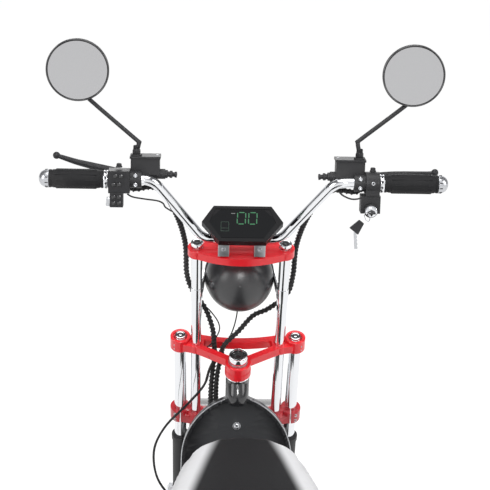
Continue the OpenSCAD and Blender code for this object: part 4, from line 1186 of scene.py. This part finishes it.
def plain_tube(name, line, diameter, finish, body, resolution=1):
    curve = bpy.data.curves.new(name, "CURVE")
    curve.dimensions = "3D"
    curve.bevel_depth = diameter * MM / 2
    curve.bevel_resolution = resolution
    curve.use_fill_caps = True
    spline = curve.splines.new("POLY")
    spline.points.add(len(line) - 1)
    for point, place in zip(spline.points, line):
        point.co = (*place, 1)
    thing = bpy.data.objects.new(name, curve)
    bpy.context.scene.collection.objects.link(thing)
    select_only(thing)
    bpy.ops.object.convert(target="MESH")
    return hand_over(named(name), finish, body, 80)


for name, route in (("right_loom_wrap", loom_right), ("left_loom_wrap", loom_left)):
    plain_tube(name, wound(route[1:], 5.0, 10.5), 4.2, FINISHES["satin black"], "steering")

# %% [markdown]
# Thin leads leave the headlamp and the switches and meet the looms at a few connectors.

# %% Thin leads and connectors
lead("headlamp_lead", [
    on_fork(-1, 26, 640), on_fork(-6, 4, 612), on_fork(-14, -10, 585), on_fork(-28, -24, 556),
    on_fork(-38, -36, 536), on_fork(-46, -42, 512),
], 3.2, FINISHES["cable"], "steering")
lead("thin_loop", [
    on_fork(-84, -4, 664), on_fork(-66, -8, 645), on_fork(-48, -14, 616), on_fork(-46, -18, 590),
    on_fork(-62, -26, 560), on_fork(-74, -30, 546), on_fork(-60, -34, 534), on_fork(-46, -38, 530),
], 3, FINISHES["cable"], "steering")
lead("switch_lead", [
    by_bar(-250, -8, -30), by_bar(-238, -10, -36), by_bar(-212, -6, -41), by_bar(-186, 2, -46),
    by_bar(-174, 14, -54), by_bar(-168, 26, -66), on_fork(-148, 12, 925),
], 3.6, FINISHES["cable"], "steering")
lead("throttle_lead", [
    by_bar(262, -10, -22), by_bar(250, -14, -30), by_bar(232, -12, -33), by_bar(214, -2, -28),
    by_bar(204, 16, -22), by_bar(196, 34, -26),
], 3.8, FINISHES["cable"], "steering")
lead("hose_head", [
    on_fork(-75, -58, 462), on_fork(-69, -51, 488), on_fork(-62, -46, 508), on_fork(-52, -42, 526),
], 6.2, FINISHES["cable"], "steering")
plug = block("plug", 9, 9, 17)
with Edit(plug) as edit:
    edit.pick(lambda middle, part: part.normal.z > 0.9)
    bpy.ops.mesh.inset(thickness=0.0018)
    bpy.ops.mesh.extrude_region_move(TRANSFORM_OT_translate={"value": (0, 0, 0.004)})
round_off(plug, 0.9, 2)
places = [
    on_fork_at(-50, -40, 528, Vector((0.6, -0.3, 0.9)), 20),
    on_fork_at(-40, -44, 519, Vector((-0.4, -0.2, 0.9)), 50),
    on_fork_at(-62, -42, 534, Vector((0.9, 0.1, 0.4)), 10),
]
repeated("connectors", plug, places, FINISHES["satin black"], "steering")

# %% [markdown]
# A grip ends in a domed bright cap with slots and starts in a bright collar with round holes;
# its rubber has ten raised ribs. The parts are made once and mirrored.

# %% Grips, caps and collars
ALONG_BAR = RIGHT
def both_ends(thing, name, finish, smooth=35):
    """The right-hand piece and its mirror image on the left."""
    thing.name = f"right_{name}"
    hand_over(thing, finish, "steering", smooth)
    hand_over(other_side(thing, f"left_{name}"), finish, "steering", smooth)


dome = turned("dome", [
    (0, 22.2), (6, 21.6), (11, 19.6), (15, 16.2), (18, 11), (19.2, 5), (19.4, 0.6), (18.6, 0), (0, 0),
], 64)
both_ends(move(dome, at(by_bar(416.6, 0, 0), ALONG_BAR)), "end_cap", FINISHES["steel"], 50)
collar = turned("collar", [
    (12.5, 0), (18, 0), (19, 1), (19.2, 3), (18.6, 3.8), (19.2, 4.6), (19.2, 9.4), (18.4, 10.6), (12.5, 11),
    (12.5, 0),
], 64)
both_ends(move(collar, at(by_bar(290, 0, 0), ALONG_BAR)), "collar", FINISHES["chrome"], 40)
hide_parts("grip_trims")
barrel = turned("barrel", [
    (13, 0), (18.2, 0), (19.4, 0.8), (19.4, 4.6), (18.6, 5.4), (18.6, 7.2), (19.4, 8.4), (20.3, 22),
    (21, 40), (21.3, 58), (21, 76), (20.3, 94), (19.4, 107.6), (18.6, 108.8), (18.6, 110.6),
    (19.4, 111.4), (19.4, 115.2), (18.2, 116), (13, 116), (13, 0),
], 64)
both_ends(move(barrel, at(by_bar(301, 0, 0), ALONG_BAR)), "grip", FINISHES["grip"], 40)
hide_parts("grips")

slot = block("slot", 3.0, 2.2, 7)
round_off(slot, 0.9, 2)
holes = round_bar("hole", 2.2, 2, 16)
round_off(holes, 0.4, 1)
places, dots = [], []
for k in range(10):
    around = Matrix.Rotation(2 * math.pi * k / 10, 4, "X")
    middle = Matrix.Translation(by_bar(421.6, 0, 0)) @ around
    places.append(middle @ Matrix.Translation((0, 0, 18.7 * MM)) @ Matrix.Rotation(math.pi / 2, 4, "Y"))
    collar = Matrix.Translation(by_bar(295.5, 0, 0)) @ around
    dots.append(collar @ Matrix.Translation((0, 0, 19.0 * MM)))
right_slots = repeated("right_cap_slots", slot, places, FINISHES["moulding"], "steering")
right_dots = repeated("right_collar_holes", holes, dots, FINISHES["moulding"], "steering")
hand_over(other_side(right_slots, "left_cap_slots"), FINISHES["moulding"], "steering")
hand_over(other_side(right_dots, "left_collar_holes"), FINISHES["moulding"], "steering")

rib = block("rib", 88, 3, 2)
with Edit(rib) as edit:
    edit.pick(lambda middle, part: part.normal.z > 0.9)
    bpy.ops.transform.resize(value=(0.97, 0.5, 1), center_override=(0, 0, 0.001))
round_off(rib, 0.5, 2)
places = []
for k in range(10):
    around = Matrix.Rotation(math.pi * (k + 0.5) / 5, 4, "X")
    places.append(
        Matrix.Translation(by_bar(359, 0, 0)) @ around @ Matrix.Translation((0, 0, 20.6 * MM))
    )
right_ribs = repeated("right_grip_ribs", rib, places, FINISHES["grip"], "steering")
hand_over(other_side(right_ribs, "left_grip_ribs"), FINISHES["grip"], "steering")

# %% [markdown]
# The mirrors are new: a turned shell with a glossy black rim, on a bent stem with a nut at its foot.
# The stem leans outwards from its bend, as in the photograph.

# %% Mirrors
mirror_low, mirror_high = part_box("mirror_glass")
glass_middle = Vector((357 * MM, (mirror_low.y + mirror_high.y) / 2, (mirror_low.z + mirror_high.z) / 2))
facing = Vector((0, -math.cos(math.radians(6)), -math.sin(math.radians(6))))
shell = turned("shell", [
    (63, -1), (66.4, 0.6), (67, -1), (66.6, -8), (60, -14), (46, -18.4), (24, -21), (0, -22),
], 96)
shell = move(shell, at(glass_middle, facing))
shell.name = "right_mirror"
hand_over(shell, FINISHES["satin black"], "steering", 50)
hand_over(other_side(shell, "left_mirror"), FINISHES["satin black"], "steering", 50)
rim = ring("right_mirror_rim", 65.4, 3.6, 128)
rim = hand_over(move(rim, at(glass_middle + facing * 0.0012, facing)), FINISHES["gloss black"], "steering")
hand_over(other_side(rim, "left_mirror_rim"), FINISHES["gloss black"], "steering")
behind = glass_middle - facing * 0.020


def mirror_stem(name, side, foot, lift, reach):
    across = lambda x: side * x
    back = Vector((side * behind.x, behind.y, behind.z))
    route = [
        by_bar(across(foot), 24, 40), by_bar(across(foot), 24, 58),
        by_bar(across(foot - 4), 24, 69 + lift), by_bar(across(foot - 4), 25, 78 + lift),
        by_bar(across(foot + 3), 26, 84 + lift),
        by_bar(across(reach), 46, 168), by_bar(across(reach + 4), 48, 178), back,
    ]
    lead(name, route, 9.5, FINISHES["satin black"], "steering", 8)


mirror_stem("right_mirror_stem", 1, 248, 8, 352)
mirror_stem("left_mirror_stem", -1, 232, 0, 338)
foot_nut = turned("foot nut", [(5, 0), (8.5, 0), (9, 0.8), (9, 8), (8, 9.2), (5, 9.6), (5, 0)], 6)
neck = turned("neck", [
    (5, 0), (7.4, 0), (7.4, 2), (6.4, 2.8), (7.4, 3.6), (6.4, 4.6), (7.4, 5.6), (6.4, 6.6), (7.4, 7.8),
    (6.4, 9), (5, 9.4), (5, 0),
], 32)
places = [at(by_bar(248, 24, 52), UP, 12), at(by_bar(-232, 24, 52), UP, 20)]
repeated("mirror_foot_nuts", foot_nut, places, FINISHES["satin black"], "steering")
places = [at(by_bar(248, 24, 61), UP), at(by_bar(-232, 24, 61), UP)]
repeated("mirror_foot_threads", neck, places, FINISHES["satin black"], "steering")
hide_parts("mirrors")

# %% [markdown]
# A brake lever's blade swells towards its middle and ends in a ball. It is one line with a
# radius at each point, and it takes the place of the hard part's lever, which is hidden.

# %% Brake levers
def swelling(name, points, radii, finish, body):
    curve = bpy.data.curves.new(name, "CURVE")
    curve.dimensions = "3D"
    curve.bevel_depth = MM
    curve.bevel_resolution = 4
    curve.use_fill_caps = True
    spline = curve.splines.new("BEZIER")
    spline.bezier_points.add(len(points) - 1)
    for knot, place, radius in zip(spline.bezier_points, points, radii):
        knot.co = place
        knot.radius = radius
        knot.handle_left_type = knot.handle_right_type = "AUTO"
    thing = bpy.data.objects.new(name, curve)
    bpy.context.scene.collection.objects.link(thing)
    select_only(thing)
    bpy.ops.object.convert(target="MESH")
    return hand_over(named(name), finish, body, 60)


swelling("right_lever_blade", [
    by_bar(268, 52, 2), by_bar(290, 62, 6), by_bar(320, 64, 9), by_bar(350, 62, 11), by_bar(380, 56, 13),
    by_bar(406, 50, 15), by_bar(416, 50, 16),
], [5.4, 5.8, 5.8, 5.2, 4.6, 4.2, 4.0], FINISHES["satin black"], "steering")
swelling("left_lever_blade", [
    by_bar(-252, 52, 2), by_bar(-276, 62, 6), by_bar(-304, 64, 11), by_bar(-334, 62, 18),
    by_bar(-366, 56, 27), by_bar(-394, 50, 37), by_bar(-404, 50, 40),
], [6.5, 7.8, 8.4, 7.8, 6.6, 5.4, 4.6], FINISHES["satin black"], "steering")
ball = turned("ball", [(0, 8), (4.4, 6.8), (7.2, 3.6), (8, 0), (7.2, -3.6), (4.4, -6.8), (0, -8)], 32)
places = [at(by_bar(417, 50, 16.5), ALONG_BAR), at(by_bar(-406, 50, 41), ALONG_BAR)]
balls = repeated("lever_balls", ball, places, FINISHES["satin black"], "steering", 60)
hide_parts("brake_levers")

# %% [markdown]
# The ignition lock has a bright face with a key in it. A ring through the key's stub carries
# the spare key, whose dark head and notched blade hang below it.

# %% Lock and keys
face = turned("lock face", [(0, 2.6), (4, 2.6), (10, 2.2), (12.6, 0.6), (12.6, -2), (0, -2)], 48)
repeated("lock_face", face, [at(by_bar(272, -31, -55.4), -AHEAD)], FINISHES["chrome"], "steering", 40)
head = block("key head", 10, 3, 17)
round_off(head, 1.2, 3)
places = [at(by_bar(272, -41, -57), (0.1, -1, -0.15), 65)]
repeated("key_in_lock", head, places, FINISHES["satin black"], "steering", 40)
key_ring = ring("key_ring", 10.5, 1.7, 48)
key_ring = move(key_ring, at(by_bar(262, -44, -64), (0.75, -0.5, 0.35)))
hand_over(key_ring, FINISHES["chrome"], "steering")
fob = block("spare key head", 25, 5, 27)
with Edit(fob) as edit:
    edit.pick(lambda middle, part: part.normal.z > 0.9)
    bpy.ops.transform.resize(value=(0.55, 1, 1), center_override=(0, 0, 0.0135))
    edit.pick(lambda middle, part: abs(part.normal.y) > 0.9)
    bpy.ops.mesh.inset(thickness=0.0025)
    bpy.ops.transform.resize(value=(1, 0.7, 1), center_override=(0, 0, 0))
round_off(fob, 1.4, 3)
repeated("spare_key_head", fob, [at(by_bar(243, -42, -86), (0.62, 0.1, 0.78), 90)], FINISHES["satin black"], "steering", 40)
blade = block("spare key blade", 7.5, 2, 38)
with Edit(blade) as edit:
    for level in range(-16, 15, 4):
        bpy.ops.mesh.select_all(action="SELECT")
        bpy.ops.mesh.bisect(plane_co=(0, 0, level * MM), plane_no=(0, 0, 1))
for corner in blade.data.vertices:
    notch = round((corner.co.z / MM + 16) / 4) % 2
    if corner.co.x > 0 and corner.co.z < 0.014:
        corner.co.x -= notch * 1.5 * MM
repeated("spare_key_blade", blade, [at(by_bar(240, -40, -117), (-0.08, 0, 1), 90)], FINISHES["steel"], "steering")

# %% [markdown]
# The left housing has round and square buttons and a pale side lever. The reservoirs have a
# raised lid with two screws, and a hose fitting with nuts leaves each cylinder's tail.

# %% Switches, lids and fittings
button = block("button", 9, 7, 4)
with Edit(button) as edit:
    edit.pick(lambda middle, part: part.normal.z > 0.9)
    bpy.ops.mesh.inset(thickness=0.0012)
    bpy.ops.mesh.extrude_region_move(TRANSFORM_OT_translate={"value": (0, 0, 0.0016)})
round_off(button, 0.6, 2)
switch_low, switch_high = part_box("switch_block")
front = Vector((0, switch_low.y, 0))
places = []
for x, up in ((-262, 12), (-274, 12), (-266, -6), (-278, -6), (-266, -33), (-278, -33), (-266, -46), (-278, -46)):
    ahead = -26.5 if up > -20 else -27
    places.append(at(by_bar(x, ahead, up), -AHEAD))
repeated("switch_buttons", button, places, FINISHES["gloss black"], "steering")
knob = turned("knob", [(0, 9), (4, 8.6), (5.6, 7), (5.6, 3), (7, 2), (7, 0), (0, 0)], 32)
places = [at(by_bar(-268, 2, 26), UP), at(by_bar(276, 4, 25), UP)]
repeated("top_knobs", knob, places, FINISHES["satin black"], "steering", 40)
paddle = block("paddle", 7, 10, 20)
round_off(paddle, 2.2, 3)
repeated("side_lever", paddle, [at(by_bar(-289, -22, -44), (0.12, 0, 1))], FINISHES["steel"], "steering", 40)

lid_screw = screw("lid screw", 3.2, 2, 0.5, 0.6, 20)
places = []
for x in (236 - 33, 236 + 19):
    places.append(at(by_bar(x, 32, 48), UP))
for x in (-220 + 33, -220 - 19):
    places.append(at(by_bar(x, 32, 48), UP))
repeated("lid_screws", lid_screw, places, FINISHES["steel"], "steering")
rim_rail = block("lid rail", 60, 2.4, 1.8)
round_off(rim_rail, 0.5, 1)
places = [at(by_bar(x, -26.5 + 35.8, 45.5), -AHEAD) for x in (229, -213)]
repeated("lid_rails", rim_rail, places, FINISHES["moulding"], "steering")
fitting = turned("fitting", [
    (0, 0), (9, 0), (9, 5), (6, 6), (6, 9), (8, 10), (8, 15), (5, 16), (5, 20), (6.6, 21), (6.6, 25), (0, 26),
], 24)
places = [at(by_bar(186, 28, 8), (-1, 0, -0.05)), at(by_bar(-170, 28, 8), (1, 0, -0.05))]
repeated("hose_fittings", fitting, places, FINISHES["satin black"], "steering", 30)
bar_bolt = screw("bar bolt", 4.2, 4, 0.5, 0.6, 24)
places = []
for x, span in ((236, 12), (-220, -12)):
    for up in (-8, 12):
        places.append(at(by_bar(x + span, -17.5, up), -AHEAD))
repeated("cylinder_clamp_bolts", bar_bolt, places, FINISHES["steel"], "steering")
throttle_screw = screw("throttle screw", 4, 3, 0.5, 0.6, 20)
places = [at(by_bar(275, -24.4, 4), -AHEAD)]
repeated("throttle_screws", throttle_screw, places, FINISHES["steel"], "steering")

# %% [markdown]
# The headlamp's brackets grip the inner tubes with thin bright bands. The hard part's sleeves
# are thicker; a copy is pressed close to the tubes and stands in for it.

# %% Slim headlamp brackets
brackets = bpy.data.objects.new("slim_brackets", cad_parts["headlamp_brackets"].data.copy())
bpy.context.scene.collection.objects.link(brackets)
with Edit(brackets, "VERT"):
    bpy.ops.mesh.select_all(action="SELECT")
    bpy.ops.mesh.remove_doubles(threshold=0.00001)
to_fork = fork_frame.inverted()
for corner in brackets.data.vertices:
    place = to_fork @ corner.co
    axis = Vector((math.copysign(100 * MM, place.x), -12 * MM, place.z))
    arm = place - axis
    if 0.0128 < arm.length < 0.024:
        arm.length = 0.0128 + (arm.length - 0.0128) * 0.12
        corner.co = fork_frame @ (axis + arm)
hand_over(brackets, FINISHES["chrome"], "steering")
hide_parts("headlamp_brackets")

# %% [markdown]
# The front mudguard sits close to its tyre. A copy of the hard part is pressed nearer to the
# wheel, so that it hides behind the foot pan from the rider's place.

# %% Close front mudguard
guard = bpy.data.objects.new("close_mudguard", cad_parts["front_mudguard"].data.copy())
bpy.context.scene.collection.objects.link(guard)
with Edit(guard, "VERT"):
    bpy.ops.mesh.select_all(action="SELECT")
    bpy.ops.mesh.remove_doubles(threshold=0.00001)
for corner in guard.data.vertices:
    arm = Vector((0, corner.co.y - front_axle.y, corner.co.z - front_axle.z))
    if abs(corner.co.x) < 0.130 and arm.length > 0.215:
        shorter = arm.normalized() * (0.215 + (arm.length - 0.215) * 0.68)
        corner.co = Vector((corner.co.x, front_axle.y, front_axle.z)) + shorter
hand_over(guard, FINISHES["gloss black"], "steering")
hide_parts("front_mudguard")

# %% [markdown]
# The photograph shows the lower yoke a little further down its tubes. A copy slid along the
# fork stands in for the hard part. Its darker red is painted shade.

# %% Lower yoke
lower = bpy.data.objects.new("slid_lower_yoke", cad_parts["lower_yoke"].data.copy())
bpy.context.scene.collection.objects.link(lower)
with Edit(lower, "VERT"):
    bpy.ops.mesh.select_all(action="SELECT")
    bpy.ops.mesh.remove_doubles(threshold=0.00001)
move(lower, Matrix.Translation(-ALONG_FORK * LOWER_YOKE_DROP * MM))
# The lower yoke's darker red is painted shade.
hand_over(lower, FINISHES["red in painted shade"], "steering")
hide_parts("lower_yoke")

# %% [markdown]
# The head tube's foot comes through the pan's top on the rider's side and ends round.

# %% The head tube's foot
foot = turned("foot", [(0, 0), (13, 2), (21, 7), (25, 15), (26.5, 26), (27, 40), (27, 60), (0, 60)], 64)
tip, above = Vector((0, 390, 571)) * MM, on_fork(0, -78, 490)
hand_over(move(foot, at(tip, above - tip)), FINISHES["gloss black"], "frame", 50)
bpy.data.objects["foot"].name = "head_tube_foot"
